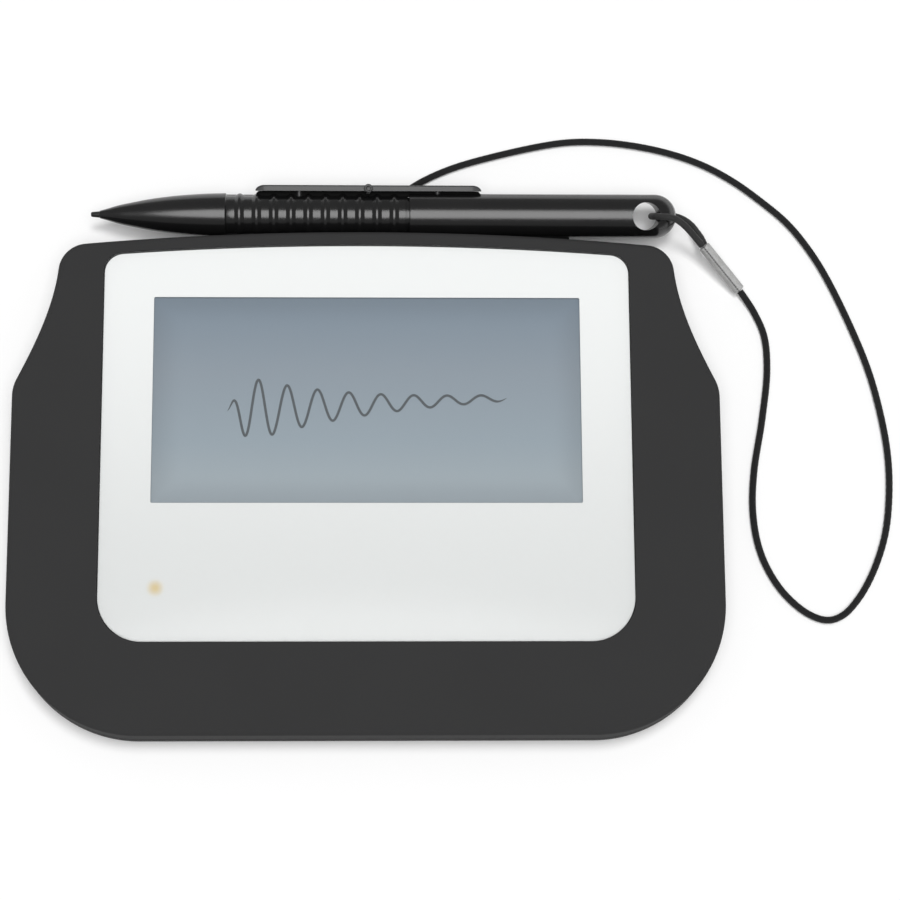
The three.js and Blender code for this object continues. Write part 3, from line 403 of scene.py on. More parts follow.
def inset(plan, distance):
    first = plan - np.roll(plan, 1, axis=0)
    second = np.roll(plan, -1, axis=0) - plan
    first /= np.linalg.norm(first, axis=1)[:, None]
    second /= np.linalg.norm(second, axis=1)[:, None]
    share = 1 + (first * second).sum(axis=1)[:, None]
    return plan + (first + second)[:, ::-1] * (-1, 1) * distance / share


def level(plan, z):
    return np.column_stack((plan, np.full(len(plan), z)))


def rounding(middle, z, radius, start, end, steps):
    """Insets and heights along the arc of an edge: 0 degrees is outward and 90 is up."""
    angle = np.radians(np.linspace(start, end, steps + 1))
    return [(middle - radius * math.cos(a), z + radius * math.sin(a)) for a in angle]


def walls(plan, profile):
    return [level(inset(plan, distance), z) for distance, z in profile]


def skin(name, bands, fills, material, sharp=35):
    """A closed mesh from bands of rings and flat fills between rings, welded where they meet."""
    work = bmesh.new()
    for band in bands:
        rows = [[work.verts.new(point * mm) for point in ring] for ring in band]
        for low, high in zip(rows, rows[1:]):
            for k in range(len(low)):
                work.faces.new((low[k - 1], low[k], high[k], high[k - 1]))
    for loops in fills:
        edges = []
        for ring in loops:
            corners = [work.verts.new(point * mm) for point in ring]
            edges += [work.edges.new((corners[k - 1], corners[k])) for k in range(len(corners))]
        bmesh.ops.triangle_fill(work, edges=edges, use_beauty=True)
    bmesh.ops.remove_doubles(work, verts=work.verts, dist=weld)
    bmesh.ops.recalc_face_normals(work, faces=work.faces)
    data = bpy.data.meshes.new(name)
    work.to_mesh(data)
    work.free()
    data.shade_smooth()
    data.set_sharp_from_angle(angle=math.radians(sharp))
    data.materials.append(material)
    made = bpy.data.objects.new(name, data)
    bpy.context.scene.collection.objects.link(made)
    return made


def prism(plan, low, high, order=(0, 1, 2)):
    """The two end rings of a bar with the plan's section; order turns it along x or y."""
    return [level(plan, low)[:, order], level(plan, high)[:, order]]


along_x = (2, 0, 1)


def circle(x, y, radius, sides=48):
    return arc(x, y, radius, 0, 2 * math.pi, sides)[1:]


def rounded_rectangle(x0, x1, y0, y1, radius, steps=8):
    corners = [(x1 - radius, y0 + radius), (x1 - radius, y1 - radius), (x0 + radius, y1 - radius),
               (x0 + radius, y0 + radius)]
    return np.vstack([arc(x, y, radius, (turn - 1) * math.pi / 2, turn * math.pi / 2, steps)
                      for turn, (x, y) in enumerate(corners)])


def carve(piece, prisms):
    """Cuts closed bars out of a piece."""
    cutter = skin("cutter", prisms, [[ring] for ends in prisms for ring in ends], piece.data.materials[0])
    cut = piece.modifiers.new("cut", "BOOLEAN")
    cut.operation = "DIFFERENCE"
    cut.solver = "EXACT"
    cut.object = cutter
    view_layer = bpy.context.view_layer
    view_layer.update()
    carved = bpy.data.meshes.new_from_object(piece.evaluated_get(bpy.context.evaluated_depsgraph_get()))
    piece.modifiers.clear()
    piece.data = carved
    carved.shade_smooth()
    carved.set_sharp_from_angle(angle=math.radians(35))
    bpy.data.objects.remove(cutter)


def ring_post(x, y, radius, bore, low, high, material):
    """A round post with a bore through it."""
    ring, hole = circle(x, y, radius), circle(x, y, bore, 32)
    bands = [[level(ring, low), level(ring, high)], [level(hole, low), level(hole, high)]]
    return skin("post", bands, [[level(ring, z), level(hole, z)] for z in (low, high)], material)


def moulded(name, dark, pale, rough, scale, depth, plain={}):
    """Moulded plastic or rubber: a fine grain, with slow changes of tone and of gloss."""
    material, shade, surface = finish(name, plain)
    fine = grain(shade, scale)
    slow = grain(shade, 60.0, 3.0)
    shade.feed(surface["Base Color"], mixed(slow * 0.7 + fine * 0.3, dark, pale))
    shade.feed(surface["Roughness"], rough[0] + (slow + fine) * ((rough[1] - rough[0]) / 2))
    shade.feed(surface["Normal"], bumped(fine, depth, 0.5))
    return material


front_corner = 29
shoulder_round = 9
shoulder_turn = math.radians(26)
flank_lean = math.radians(6)
rear_corner = 6.5
rear_half = half_width - 9.5
front = arc(half_width - front_corner, pad_low.y + front_corner, front_corner, -math.pi / 2, 0, 40)
shoulder = arc(half_width - shoulder_round, window_y + 0.6, shoulder_round, 0, shoulder_turn, 12)
rear = crowned_corner(rear_half - rear_corner * math.cos(flank_lean), rear_corner, 690, pad_high.y + 0.3,
                      flank_lean)
reach = math.dist(shoulder[-1], rear[0]) / 3
leave = shoulder[-1] + reach * np.array((-math.sin(shoulder_turn), math.cos(shoulder_turn)))
arrive = rear[0] - reach * np.array((-math.sin(flank_lean), math.cos(flank_lean)))
t = np.linspace(0, 1, 25)[:, None]
flank = ((1 - t) ** 3 * shoulder[-1] + 3 * t * (1 - t) ** 2 * leave + 3 * t ** 2 * (1 - t) * arrive
         + t ** 3 * rear[0])
pad_plan = mirrored(np.vstack((front, shoulder, flank, rear)))
panel_corner = 9.8
panel_rear_corner = 4.4
panel_plan = mirrored(np.vstack((
    arc(panel_high.x - panel_corner, panel_low.y + panel_corner, panel_corner, -math.pi / 2, 0, 24),
    crowned_corner(panel_high.x - panel_rear_corner, panel_rear_corner, 745, panel_high.y, 0))))

dark_plastic = moulded("dark_plastic", (0.029, 0.029, 0.0295), (0.036, 0.036, 0.0365), (0.76, 0.9),
                       9000.0, 0.012, {"Specular IOR Level": 0.25})
lamp_x, lamp_y = -46.1, window_y - 42.45
opening = rounded_rectangle(-51.6, 51.6, window_y - 32.5, window_y + 26.6, 0.6)
pipe_hole = circle(lamp_x, lamp_y, pipe_bore, 32)
top = pad_high.z
recess_edge = -panel_gap - recess_round
outer = walls(pad_plan, [(wall, split_top), (split_chamfer, split_top), (0, split_top + split_chamfer),
                         (0, top - edge_round - support),
                         *rounding(edge_round, top - edge_round, edge_round, 0, 90, 10),
                         (edge_round + support, top)])
recess = walls(panel_plan, [(recess_edge - support, top),
                            *rounding(recess_edge, top - recess_round, recess_round, 90, 180, 4),
                            (-panel_gap, top - recess_round - support), (-panel_gap, ledge_top)])
inner = walls(pad_plan, [(wall, roof_under), (wall, split_top)])
upper = skin("upper_shell", [outer, recess, inner, [level(opening, ledge_top), level(opening, roof_under)],
                             [level(pipe_hole, ledge_top), level(pipe_hole, roof_under)]],
             [[outer[-1], recess[0]], [recess[-1], level(opening, ledge_top), level(pipe_hole, ledge_top)],
              [inner[0], level(opening, roof_under), level(pipe_hole, roof_under)]], dark_plastic)
plug_y = window_y - 40.75
plug_opening = prism(rounded_rectangle(plug_y - 5.6, plug_y + 5.6, 4.65, 9.75, 0.8), -half_width - 2,
                     -half_width + 3.5, along_x)
carve(upper, [plug_opening])
case_screws = [(side * x, window_y + y) for side in (-1, 1)
               for x, y in ((61, 25.5), (71, -8), (63.4, -56.3))]
joined(upper, [ring_post(x, y, case_boss, case_bore, split_top, roof_under + sunk, dark_plastic)
               for x, y in case_screws])
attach(upper, "pad")
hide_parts("upper_housing")


# Lower housing: the same plastic, with the floor, the walls, a lip that lines up both halves,
# bosses and ribs for the boards, and two grooved arms behind the rear wall that carry the pen.
lower_low, lower_high = box_of("lower_housing")
bottom = lower_low.z
split_under = 5.05
floor_top = 2.5
lip_top = 6.4
lip_edge = 0.1
lip_outer, lip_inner = 2.45, 3.45
head_well, foot_recess, exit_bore = 2.5, 5.3, 1.1
board_post, board_bore, board_rest = 2.4, 0.95, 4.35
rib_half, rib_rest = 0.8, 3.95
along_y = (0, 2, 1)


def capped(name, rings, material, sharp=35):
    """A closed mesh from one band of rings, with its first and its last ring filled."""
    return skin(name, [rings], [[rings[0]], [rings[-1]]], material, sharp)


outer = walls(pad_plan, [(edge_round + support, bottom),
                         *rounding(edge_round, bottom + edge_round, edge_round, -90, 0, 10),
                         (0, bottom + edge_round + support), (0, split_under - split_chamfer),
                         (split_chamfer, split_under), (wall, split_under), (wall, split_under - 0.05),
                         (lip_outer, split_under - 0.05), (lip_outer, lip_top - lip_edge),
                         (lip_outer + lip_edge, lip_top), (lip_inner - lip_edge, lip_top),
                         (lip_inner, lip_top - lip_edge), (lip_inner, floor_top)])
lower = capped("lower_shell", outer, dark_plastic)
feet = [(side * 47, window_y + y) for side in (-1, 1) for y in (-65, 27.5)]
label_recess = rounded_rectangle(-36, 36, window_y - 46, window_y - 14, 1.5)
counter_top = bottom + 1.7
cuts = [plug_opening, prism(label_recess, bottom - 1, bottom + 0.3),
        prism(circle(0, 3.3, exit_bore), pad_high.y - 5, pad_high.y + 1, along_y)]
cuts += [prism(circle(x, y, foot_recess), bottom - 1, bottom + 0.6) for x, y in feet]
cuts += [prism(circle(x, y, head_well), bottom - 1, floor_top + 1) for x, y in case_screws]
carve(lower, cuts)
fittings = []
for x, y in case_screws:
    ring, step, bore = circle(x, y, case_boss), circle(x, y, head_well), circle(x, y, 1.5)
    bands = [[level(ring, floor_top - sunk), level(ring, split_under)],
             [level(step, floor_top - sunk), level(step, counter_top)],
             [level(bore, counter_top), level(bore, split_under)]]
    fittings.append(skin("boss", bands, [[bands[0][0], bands[1][0]], [bands[1][1], bands[2][0]],
                                         [bands[0][1], bands[2][1]]], dark_plastic))
for side in (-1, 1):
    for y in (-62, -39.5):
        fittings.append(ring_post(side * 52, window_y + y, board_post, board_bore, floor_top - sunk,
                                  board_rest, dark_plastic))
for x in (-43.35, 0, 43.35):
    rib = rounded_rectangle(x - rib_half, x + rib_half, window_y - 31.5, window_y + 27.5, 0.3)
    fittings.append(capped("rib", prism(rib, floor_top - sunk, rib_rest), dark_plastic))
pen_y, pen_z, pen_radius = window_y + 43.93, 7.16, 4.93
arm_top, arm_end, arm_round = bottom + 3.3, lower_high.y, 0.5
groove = pen_radius + 0.3
groove_turn = math.acos((pen_z - arm_top) / groove)
arm_side = np.vstack((arc(arm_end - arm_round, bottom + arm_round, arm_round, -math.pi / 2, 0, 5),
                      arc(arm_end - 0.2, arm_top - 0.2, 0.2, 0, math.pi / 2, 4),
                      arc(pen_y, pen_z, groove, groove_turn - math.pi / 2, -groove_turn - math.pi / 2, 24),
                      [(pad_high.y - 0.7, arm_top), (pad_high.y - 0.7, bottom)]))
for x in (-28, 38):
    rings = [np.insert(inset(arm_side, distance), 0, x + reach, axis=1) for distance, reach in
             [(0.2, -8), (0.06, -7.94), (0, -7.8), (0, 7.8), (0.06, 7.94), (0.2, 8)]]
    fittings.append(capped("pen_arm", rings, dark_plastic))
joined(lower, fittings)
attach(lower, "pad")
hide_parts("lower_housing")


# Front panel: a clear hard-coated plastic sheet, level with the rim round it, with a small
# rounding along its edge. What shows through it is the white print and the display.
clear_sheet, shade, surface = finish("clear_sheet", {"Base Color": (0.6, 0.62, 0.62), "Alpha": 0.04,
                                                     "IOR": 1.49})
shade.feed(surface["Roughness"], 0.25 + grain(shade, 90.0) * 0.05)
panel_round = 0.2
rings = walls(panel_plan, [(0, panel_low.z), (0, top - panel_round - support),
                           *rounding(panel_round, top - panel_round, panel_round, 0, 90, 5),
                           (panel_round + support, top)])
panel = capped("clear_panel", rings, clear_sheet)
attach(panel, "pad")
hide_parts("front_panel")


# White print: a thin film stuck under the clear sheet, printed white round the window, with painted
# shade that makes it greyer toward the front. The light of the status lamp below it is painted into
# the film's colour as a small warm spot at the lower left.
film_low, film_high = box_of("white_print_film")


def eased(value, start, end, first, last):
    """A smooth change from first to last while the value goes from start to end."""
    return value.node("MapRange", {"interpolation_type": "SMOOTHSTEP"},
                      {"Value": value, "From Min": start, "From Max": end, "To Min": first, "To Max": last})


white_print, shade, surface = finish("white_print", {"Coat Weight": 0.6, "Coat Roughness": 0.06})
place = object_place(shade)
# Painted light: the status lamp's warm glow is mixed into the film's colour round the lamp.
from_lamp = shade.node("VectorMath", {"operation": "DISTANCE"},
                       {0: place, 1: (lamp_x * mm, lamp_y * mm, film_high.z * mm)}, "Value")
painted_glow_core, painted_glow_reach = 0.2 * mm, 2.4 * mm
painted_lamp_glow = eased(from_lamp, painted_glow_core, painted_glow_reach, 1.0, 0.0)
_, y, _ = axes(place)
# Painted shade: the print's white is mixed toward a greyer white toward the front.
painted_front_shade = eased(y, panel_low.y * mm, panel_high.y * mm, 1.0, 0.0)
mottle = grain(shade, 900.0, 3.0)
white = mixed(painted_front_shade * 0.94 + mottle * 0.06, (0.92, 0.935, 0.93), (0.712, 0.728, 0.722))
shade.feed(surface["Base Color"], mixed(painted_lamp_glow, white, (0.68, 0.545, 0.285)))
shade.feed(surface["Roughness"], 0.4 + mottle * 0.1)
window_half_x, window_half_y = 47.5, 23.5
window = rounded_rectangle(-window_half_x, window_half_x, window_y - window_half_y,
                           window_y + window_half_y, 0.35)
rings = walls(panel_plan, [(0.02, film_low.z), (0.02, film_high.z)])
holes = [level(window, film_low.z), level(window, film_high.z)]
film = skin("white_film", [rings, holes], [[rings[0], holes[0]], [rings[1], holes[1]]], white_print)
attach(film, "pad")
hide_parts("white_print_film")


# Foam pieces: the adhesive frame that sticks the film to the ledge, and the soft gasket that
# keeps dust off the display.
foam, shade, surface = finish("foam", {"Specular IOR Level": 0.2})
pores = shade.node("TexVoronoi", {}, {"Vector": object_place(shade), "Scale": 6000.0})
shade.feed(surface["Base Color"], mixed(pores, (0.006, 0.006, 0.006), (0.025, 0.025, 0.025)))
shade.feed(surface["Roughness"], 0.8 + pores * 0.2)
shade.feed(surface["Normal"], bumped(pores, 0.05))


def dress(nodes, material):
    for node in nodes:
        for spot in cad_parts[node].material_slots:
            spot.material = material


dress(["panel_adhesive", "display_gasket"], foam)


# Display cell: two sheets of glass with the liquid crystal between them, grey-blue with its
# backlight on and a fine grid between its picture points. Painted shade darkens it toward the
# rear and in a band along the window's edges.
_, glass_high = box_of("display_cell")
display_face, shade, surface = finish("display_face", {"IOR": 1.5})
x, y, _ = axes(object_place(shade))
across, up = x / mm, y / mm - window_y
rise = shade.node("MapRange", {}, {"Value": up, "From Min": -window_half_y, "From Max": window_half_y})
# Painted shade: the colour runs darker toward the rear.
tone = shade.node("ValToRGB", {"stops": [(0.12, (0.3, 0.357, 0.396)), (0.3, (0.262, 0.324, 0.372)),
                                         (0.64, (0.226, 0.277, 0.327)), (0.98, (0.163, 0.22, 0.28))]},
                  {"Fac": rise})
# Painted shade: a dark band along the window's edges, where the film and gasket shade the display.
to_edge = shade.maths("MINIMUM", window_half_x - shade.maths("ABSOLUTE", across),
                      window_half_y - shade.maths("ABSOLUTE", up))
painted_edge_shade = eased(to_edge, -0.5, 7.0, 0.22, 0.01)
dot_pitch = 0.297
lines = shade.maths("MAXIMUM", shade.maths("PINGPONG", across, dot_pitch / 2),
                    shade.maths("PINGPONG", up, dot_pitch / 2)) * (2 / dot_pitch)
grid = shade.node("MapRange", {}, {"Value": lines, "From Min": 0.75, "From Max": 1.0, "To Min": 0.0,
                                   "To Max": 0.05})
shade.feed(surface["Base Color"], mixed(painted_edge_shade + grid, tone, (0.05, 0.06, 0.07)))
shade.feed(surface["Roughness"], 0.36 + grain(shade, 400.0) * 0.08)
dress(["display_cell"], display_face)


# Ink: one plain wavy stroke across the display, which stands for what someone has drawn on it.
# It is no letter, and it lies on the display's face.
ink_tone, shade, surface = finish("display_ink", {"Specular IOR Level": 0.2})
speckle = grain(shade, 2500.0)
shade.feed(surface["Base Color"], mixed(speckle, (0.045, 0.055, 0.065), (0.075, 0.09, 0.1)))
shade.feed(surface["Roughness"], 0.4 + speckle * 0.1)
along = np.linspace(0, 1, 700)
swing = 9 * np.exp(-2.6 * along) * np.sin(2 * np.pi * (9 * along ** 0.9)) * np.minimum(1, 12 * along)
stroke = np.column_stack((-31 + 62 * along, window_y - 2.5 + 3 * along + swing))
ahead = np.gradient(stroke, axis=0)
ahead /= np.linalg.norm(ahead, axis=1)[:, None]
half_stroke = (0.25 * np.minimum(1, 40 * along) * np.minimum(1, 25 * (1 - along)) + 0.04)[:, None]
left, right = (stroke + side * half_stroke * ahead[:, ::-1] * (-1, 1) for side in (1, -1))
stroke_low, stroke_high = glass_high.z + 0.005, glass_high.z + 0.03
rings = np.stack([level(left, stroke_low), level(right, stroke_low), level(right, stroke_high),
                  level(left, stroke_high)], axis=1)
ink = capped("ink_stroke", rings, ink_tone)
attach(ink, "pad")


# Backlight: a moulded tray, a white reflector, a clear acrylic guide lit from a strip along its
# left edge, and a diffuser over it.
white_plastic = moulded("white_plastic", (0.74, 0.74, 0.72), (0.82, 0.82, 0.8), (0.45, 0.6), 3000.0, 0.02)
clear_plastic, shade, surface = finish("clear_plastic", {"Base Color": (0.85, 0.9, 0.9), "Alpha": 0.3,
                                                         "IOR": 1.49})
shade.feed(surface["Roughness"], 0.08 + grain(shade, 300.0) * 0.08)
dress(["light_diffuser", "reflector_sheet", "display_frame", "backlight_strip", "display_connector",
       "sensor_connector"], white_plastic)
dress(["light_guide", "light_pipe"], clear_plastic)


# Boards: green solder mask over glass fibre, with fine traces that show as paler lines. The plate
# under the pen sensing board, the shield, the crystal's can and the socket are brushed steel.
board_green, shade, surface = finish("board_green", {"Coat Weight": 0.3, "Coat Roughness": 0.2})
traces = shade.node("TexBrick", {"offset": 0.37},
                    {"Vector": object_place(shade), "Scale": 260.0, "Mortar Size": 0.06}, "Fac")
weave = grain(shade, 3500.0)
mask = mixed(weave, (0.008, 0.075, 0.025), (0.014, 0.1, 0.035))
shade.feed(surface["Base Color"], mixed(traces * 0.6, mask, (0.05, 0.22, 0.08)))
shade.feed(surface["Roughness"], 0.35 + weave * 0.15)
shade.feed(surface["Normal"], bumped(traces, 0.03, 0.6))
dress(["main_board", "digitizer_board", "pen_board"], board_green)
bright_steel, shade, surface = finish("bright_steel", {"Metallic": 1.0})
drawn_out = shade.node("Mapping", {}, {"Vector": object_place(shade), "Scale": (1, 30, 30)})
brushed = shade.node("TexNoise", {}, {"Vector": drawn_out, "Scale": 400.0, "Detail": 3.0})
shade.feed(surface["Base Color"], mixed(brushed, (0.5, 0.51, 0.52), (0.62, 0.63, 0.64)))
shade.feed(surface["Roughness"], 0.25 + brushed * 0.2)
shade.feed(surface["Normal"], bumped(brushed, 0.01, 0.4))
dress(["shield_plate", "shield_can", "crystal", "cable_socket"], bright_steel)


# Small parts on the boards and in the pen: black epoxy chips, switches and sensor, grey ferrite,
# the lamp, amber flat cables whose conductors show as fine stripes, and the pen's copper coil.
black_epoxy = moulded("black_epoxy", (0.008, 0.008, 0.009), (0.016, 0.016, 0.017), (0.4, 0.6), 7000.0, 0.02)
dress(["processor_chip", "memory_chip", "bridge_chip", "side_switch_front", "side_switch_rear",
       "pressure_sensor"], black_epoxy)
ferrite = moulded("ferrite", (0.02, 0.02, 0.024), (0.05, 0.05, 0.055), (0.5, 0.7), 2500.0, 0.04)
dress(["power_coil", "ferrite_core"], ferrite)
amber_film, shade, surface = finish("amber_film", {"Coat Weight": 0.4, "Coat Roughness": 0.15})
x, _, _ = axes(object_place(shade))
stripe = 0.25 * mm
stripes = shade.maths("PINGPONG", x, stripe) * (4 / mm)
shade.feed(surface["Base Color"], mixed(stripes, (0.35, 0.12, 0.02), (0.62, 0.3, 0.08)))
shade.feed(surface["Roughness"], 0.3 + grain(shade, 1200.0) * 0.15)
dress(["display_flex", "sensor_flex"], amber_film)
lamp_lens, shade, surface = finish("lamp_lens", {"Alpha": 0.9})
cloud = grain(shade, 1500.0)
shade.feed(surface["Base Color"], mixed(cloud, (0.75, 0.6, 0.3), (0.85, 0.72, 0.42)))
shade.feed(surface["Roughness"], 0.25 + cloud * 0.1)
dress(["status_lamp"], lamp_lens)
copper_wire, shade, surface = finish("copper_wire", {"Metallic": 1.0})
x, _, _ = axes(object_place(shade))
winding = 0.06 * mm
turns = shade.maths("PINGPONG", x, winding) * (16 / mm)
shade.feed(surface["Base Color"], mixed(turns, (0.28, 0.09, 0.03), (0.75, 0.33, 0.16)))
shade.feed(surface["Roughness"], 0.3 + turns * 0.15)
shade.feed(surface["Normal"], bumped(turns, 0.05))
dress(["pen_coil"], copper_wire)


# Screws: zinc-plated steel with a cross recess in a low head. Case screws go in from below and
# board screws from above.
def screw(node, head_radius, shank_radius, head, shank, pitch):
    """A screw along z: head and shank are heights, each from the free end inward."""
    low, high = box_of(node)
    x, y = (low.x + high.x) / 2, (low.y + high.y) / 2
    up = 1 if shank[1] > head[0] else -1
    edge, thread_root = 0.15, 0.82
    profile = [(head_radius - 0.25, head[0]), (head_radius - 0.07, head[0] + 0.07 * up),
               (head_radius, head[0] + 0.25 * up), (head_radius, head[1] - edge * up),
               (head_radius - edge, head[1]), (shank_radius, head[1])]
    steps = int(abs(shank[1] - shank[0]) / pitch * 4)
    for k in range(steps):
        run = shank[0] + (shank[1] - shank[0]) * k / steps
        profile.append((shank_radius * (1 if k % 4 < 2 else thread_root), run))
    profile.append((shank_radius * 0.5, shank[1]))
    rings = [level(circle(x, y, radius, 36), z) for radius, z in profile]
    made = capped(node + "_thread", rings, bright_steel, 50)
    slot_half, slot_reach = head_radius * 0.13, head_radius * 0.62
    ends = sorted((head[0] - up, head[0] + 0.75 * (head[1] - head[0])))
    for wide, deep in ((slot_half, slot_reach), (slot_reach, slot_half)):
        carve(made, [prism(rounded_rectangle(x - wide, x + wide, y - deep, y + deep, 0.1, 3), *ends)])
    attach(made, "pad")
    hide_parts(node)


for name in ("left", "right"):
    for spot in ("rear", "middle", "front"):
        screw(f"case_screw_{spot}_{name}", 2.1, 1.05, (0.95, 2.55), (2.6, 8.4), 0.7)
    for spot in ("front", "rear"):
        screw(f"board_screw_{spot}_{name}", 1.9, 0.8, (7.35, 6.05), (6.0, 2.55), 0.5)


# Feet: moulded discs of soft black rubber with a rounded edge. Each is stuck in a shallow round
# recess of the lower housing.
foot_rubber = moulded("foot_rubber", (0.012, 0.012, 0.012), (0.022, 0.022, 0.022), (0.8, 0.95), 2600.0, 0.05)
for end in ("front", "rear"):
    for name in ("left", "right"):
        low, high = box_of(f"foot_{end}_{name}")
        x, y = (low.x + high.x) / 2, (low.y + high.y) / 2
        radius = (high.x - low.x) / 2
        profile = [(radius - 1.2, 0.06), (radius - 1.1, 0), (radius - 0.4, 0), (radius - 0.2, 0.06),
                   (radius - 0.06, 0.2), (radius, 0.4), (radius, high.z)]
        rings = [level(circle(x, y, reach, 64), z) for reach, z in profile]
        foot = capped(f"rubber_foot_{end}_{name}", rings, foot_rubber)
        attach(foot, "pad")
        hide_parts(f"foot_{end}_{name}")


# Pen: glossy black plastic in two barrels. The front one has a curved nose and a ribbed grip,
# the rear one a round tail with a cross hole for the tether, and a groove parts them.
pen_tip = Vector((-62.4, pen_y, pen_z)) * mm
pen_roll = math.radians(18)
pen_place = Matrix.Translation(pen_tip) @ Matrix.Rotation(pen_roll, 4, "X")
pen_black, shade, surface = finish("pen_black", {"Specular IOR Level": 0.8})
fine = grain(shade, 6000.0)
slow = grain(shade, 70.0, 3.0)
shade.feed(surface["Base Color"], mixed(slow, (0.005, 0.005, 0.005), (0.0085, 0.0085, 0.0088)))
shade.feed(surface["Roughness"], 0.17 + slow * 0.08 + fine * 0.04)
shade.feed(surface["Normal"], bumped(fine, 0.006, 0.4))


def turned(profile, sides=96):
    """Rings about the pen's axis, which runs along x from its tip."""
    return [np.insert(circle(0, 0, radius, sides), 0, along, axis=1) for along, radius in profile]


nose_shares = [(0.12, 0.265), (0.21, 0.43), (0.32, 0.575), (0.42, 0.695), (0.52, 0.79), (0.62, 0.865),
               (0.72, 0.92), (0.86, 0.975), (1, 1)]
nose, _ = smooth_line([(2.05, 0.87)] + [(30.3 * along, pen_radius * radius) for along, radius in nose_shares],
                      0.5)
land, rib_top, bore = 4.4, 4.87, 3.5
rib_side = [(1.16, land), (1.08, land), (1, land + 0.03), (0.34, rib_top - 0.06), (0.26, rib_top - 0.01),
            (0.18, rib_top)]
first_rib, rib_pitch = 33.6, 3.873
profile = [(2, 0.75), (2, 0.8), *nose.tolist(), (30.42, 4.91), (30.5, 4.85), (30.66, 4.45), (30.75, land)]
for rib in range(10):
    middle = first_rib + rib_pitch * rib
    for step, radius in rib_side:
        profile.append((middle - step, radius))
    for step, radius in reversed(rib_side):
        profile.append((middle + step, radius))
profile += [(71.08, land), (71.1, land - 0.02), (71.1, bore), (27, bore), (27, 2.85), (15.5, 2.85),
            (15.5, 2.2), (13, 2.2), (13, 0.75), (2, 0.75)]
pivot, pivot_height, post_reach = 62.65, 5.25, 15.65
pin_bore = prism(circle(pivot, pivot_height, 0.42, 24), -3, 3)
front_barrel = skin("front_barrel", [turned(profile)], [], pen_black, 40)
post_holes = [prism(circle(pivot + side * post_reach, 0, 1.15, 32), 2, 6, along_y) for side in (-1, 1)]
carve(front_barrel, post_holes[:1])
boss_side = rounded_rectangle(pivot - 1.15, pivot + 1.15, 4.2, 5.8, 0.2)
boss = capped("boss", prism(boss_side, -0.38, 0.38), pen_black)
carve(boss, [pin_bore])
joined(front_barrel, [boss])
dome = arc(127.57, 0, pen_radius, math.pi / 2, 0, 24)
groove_floor, collar = 4.05, 71.9
profile = [(112, 0), (112, 3.6), (collar, 3.6), (collar, 2.55), (64, 2.55), (64, 3.3), (71.15, 3.3),
           (71.15, land - 0.02), (71.17, land), (71.48, land), (71.5, land - 0.02), (71.5, groove_floor),
           (collar, groove_floor), (collar, pen_radius - 0.14), (71.94, pen_radius - 0.04),
           (72.04, pen_radius), (72.2, pen_radius), *dome.tolist()]
rear_barrel = skin("rear_barrel", [turned(profile)], [], pen_black, 40)
cross_hole = prism(circle(125.4, 0, 3.15), -6, 6)
carve(rear_barrel, [post_holes[1], cross_hole])
for barrel, node in ((front_barrel, "pen_front_barrel"), (rear_barrel, "pen_rear_barrel")):
    barrel.data.transform(pen_place)
    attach(barrel, "pen")
    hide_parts(node)


# Nib: a thin rod of hard black plastic with a worn round tip. It is pushed into the nose, slides
# there and presses on the sensor behind it.
nib_plastic = moulded("nib_plastic", (0.006, 0.006, 0.006), (0.012, 0.012, 0.012), (0.4, 0.55), 9000.0, 0.01)
nib = skin("nib_rod", [turned([(0, 0), (0.02, 0.25), (0.07, 0.4), (0.17, 0.52), (0.35, 0.58), (1.9, 0.71),
                               (2.6, 0.72), (2.9, 0.6), (26.3, 0.6), (26.3, 0)], 32)], [], nib_plastic, 40)
nib.data.transform(pen_place)
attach(nib, "nib")
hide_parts("nib")


# Rocker: a satin black bar on the rear of the pen that tips on a black pin. A channel runs along
# under it, with a round stub in its middle and a post near each end. A very dark matt strip in
# the channel, and the pin in the same black, are painted shade under the bar.
rocker_low, rocker_top, rocker_half, rocker_width = 5.48, 6.78, 25.5, 1.9
channel_half, channel_roof = 1.2, 5.95
end_run = np.array([0.02, 0.1, 0.25, 0.5, 0.8, 1.15, 1.55, 1.95, 2.05])
spots = np.concatenate((end_run - rocker_half, np.linspace(-22, 22, 23), rocker_half - end_run[::-1]))
rocker_satin = moulded("rocker_satin", (0.012, 0.012, 0.0125), (0.019, 0.019, 0.02), (0.3, 0.42), 8000.0,
                       0.015, {"Specular IOR Level": 0.6})
rings = []
for spot in spots:
    rest = min(1, (rocker_half - abs(spot)) / 2)
    rise = (rocker_top - rocker_low) * math.sqrt(1 - (1 - rest) ** 2)
    side = rocker_width - 0.35 * (1 - rest)
    edge = min(0.3, rise / 2.2)
    roof = rocker_low + min(channel_roof - rocker_low, rise * 0.6)
    half = np.vstack((arc(rocker_low + rise - edge, side - edge, edge, 0, math.pi / 2, 5),
                      [(rocker_low, side), (rocker_low, channel_half), (roof, channel_half)]))
    ring = np.vstack((half, half[::-1] * (1, -1)))
    rings.append(np.insert(ring, 0, pivot + spot, axis=1))
rocker = capped("rocker_bar", rings, rocker_satin, 50)
boss_room = prism(rounded_rectangle(pivot - 1.75, pivot + 1.75, 4, 6.25, 0.2), -1.38, 1.38)
carve(rocker, [boss_room])
carve(rocker, [pin_bore])
stub_side = [(0.45, 2.33), (0.52, 2.36), (0.6, 2.42), (0.8, 2.42), (0.93, 2.37), (1, 2.26)]
stub_side += [(radius, -out) for radius, out in reversed(stub_side)]
stub = capped("stub", [level(circle(pivot, 6.08, radius), out) for radius, out in stub_side], rocker_satin)
carve(stub, [boss_room])
posts = [capped("post", prism(circle(pivot + side * post_reach, 0, 0.75, 32), 3.15, 6, along_y), rocker_satin)
         for side in (-1, 1)]
joined(rocker, [stub, *posts])
rocker.data.transform(pen_place)
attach(rocker, "rocker")
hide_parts("rocker")
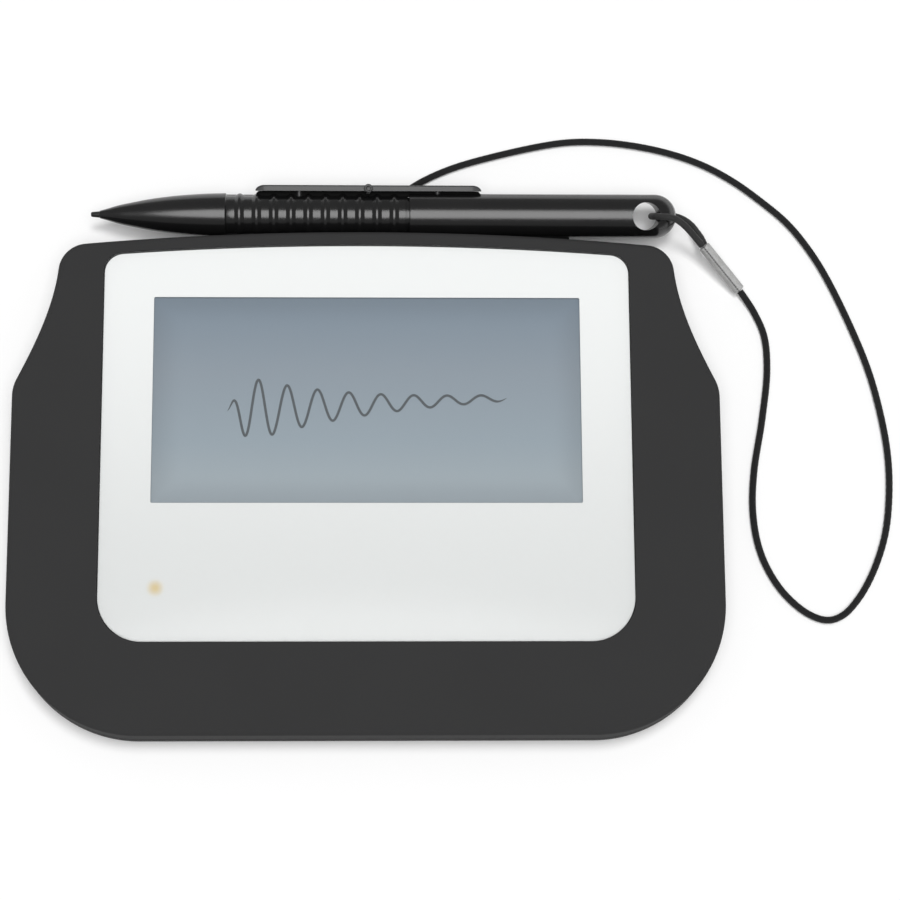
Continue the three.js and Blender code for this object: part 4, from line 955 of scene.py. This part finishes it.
# Painted shade: this very dark matt black, on the strip and on the pin, stands for the shade under the bar.
painted_shade_black = moulded("painted_shade_black", (0.003, 0.003, 0.003), (0.007, 0.007, 0.007), (0.85, 0.95), 7000.0, 0.02,
                     {"Specular IOR Level": 0.15})
shade_strip_half, shade_strip_foot, shade_strip_width = 25.3, 4.1, 0.42
shade_strip_top = [(shade_strip_half, 4.98), (24.9, 5.42), (24, 5.44), (18, 5.54), (12, 5.65), (6, 5.75), (0, 5.86)]
shade_strip_side = [(pivot + reach, rise) for reach, rise in shade_strip_top]
shade_strip_side += [(pivot - reach, rise) for reach, rise in reversed(shade_strip_top[:-1])]
shade_strip_side += [(pivot - shade_strip_half, shade_strip_foot), (pivot + shade_strip_half, shade_strip_foot)]
shade_strip = capped("rocker_shade_strip", prism(np.array(shade_strip_side), -shade_strip_width, shade_strip_width), painted_shade_black)
carve(shade_strip, [prism(circle(pivot + side * post_reach, 0, 0.8, 32), 3, 7, along_y) for side in (-1, 1)])
carve(shade_strip, [pin_bore])
shade_strip.data.transform(pen_place)
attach(shade_strip, "pen")
dress(["rocker_pin"], painted_shade_black)


# Table and light: a plain white table that keeps soft shadows, a broad high lamp that leans to
# the front, a second from the rear right, and a white backdrop all round under a dim ceiling.
table_white, shade, surface = finish("table_white", {"Roughness": 0.9, "Specular IOR Level": 0.1,
                                                     "Base Color": (0.9, 0.9, 0.9),
                                                     "Emission Strength": 1.0})
seen = shade.maths("MAXIMUM", shade.node("LightPath", {}, {}, "Is Camera Ray"),
                   shade.maths("MAXIMUM", shade.node("LightPath", {}, {}, "Is Glossy Ray"),
                               shade.node("LightPath", {}, {}, "Is Transmission Ray")))
shade.feed(surface["Emission Color"], seen * 0.05)
shade.feed(surface["Alpha"], 1 - shade.node("NewGeometry", {}, {}, "Backfacing"))
table_half = 12000
table_corners = level(np.array([(-1, -1), (1, -1), (1, 1), (-1, 1)], float) * table_half, 0)
table_data = bpy.data.meshes.new("table")
table_data.from_pydata((table_corners * mm).tolist(), [], [(0, 1, 2, 3)])
table_data.materials.append(table_white)
table = bpy.data.objects.new("table", table_data)
bpy.context.scene.collection.objects.link(table)


def high_lamp(name, place, energy, spread):
    """A far lamp that shines from its place to the pad; a wider spread makes softer shadows."""
    data = bpy.data.lights.new(name, "SUN")
    data.energy = energy
    data.angle = math.radians(spread)
    made = bpy.data.objects.new(name, data)
    made.location = place
    made.rotation_euler = (Vector((0, 0, 0)) - Vector(place)).to_track_quat("-Z", "Y").to_euler()
    bpy.context.scene.collection.objects.link(made)
    return made


high_lamp("broad_lamp", (0, -0.2, 1), 1.62, 43)
rear_lamp = high_lamp("rear_lamp", (0.06, 0.12, 1), 1.12, 16)
rear_lamp.visible_glossy = False
world = bpy.data.worlds.new("surround")
world.use_nodes = True
bpy.context.scene.world = world
sky = Shade(world.node_tree)
_, _, rise = axes(sky.node("TexCoord", {}, {}, "Generated"))
backdrop = eased(rise, 0.02, 0.1, 1.0, 0.0)
mirror_or_glass = sky.maths("MAXIMUM", sky.node("LightPath", {}, {}, "Is Glossy Ray"),
                            sky.node("LightPath", {}, {}, "Is Transmission Ray"))
seen = sky.maths("MAXIMUM", sky.node("LightPath", {}, {}, "Is Camera Ray"), mirror_or_glass * backdrop)
sky.feed(world.node_tree.nodes["Background"].inputs["Color"], mixed(seen, (0.23, 0.23, 0.23), (1, 1, 1)))
bpy.context.scene.view_settings.view_transform = "Standard"
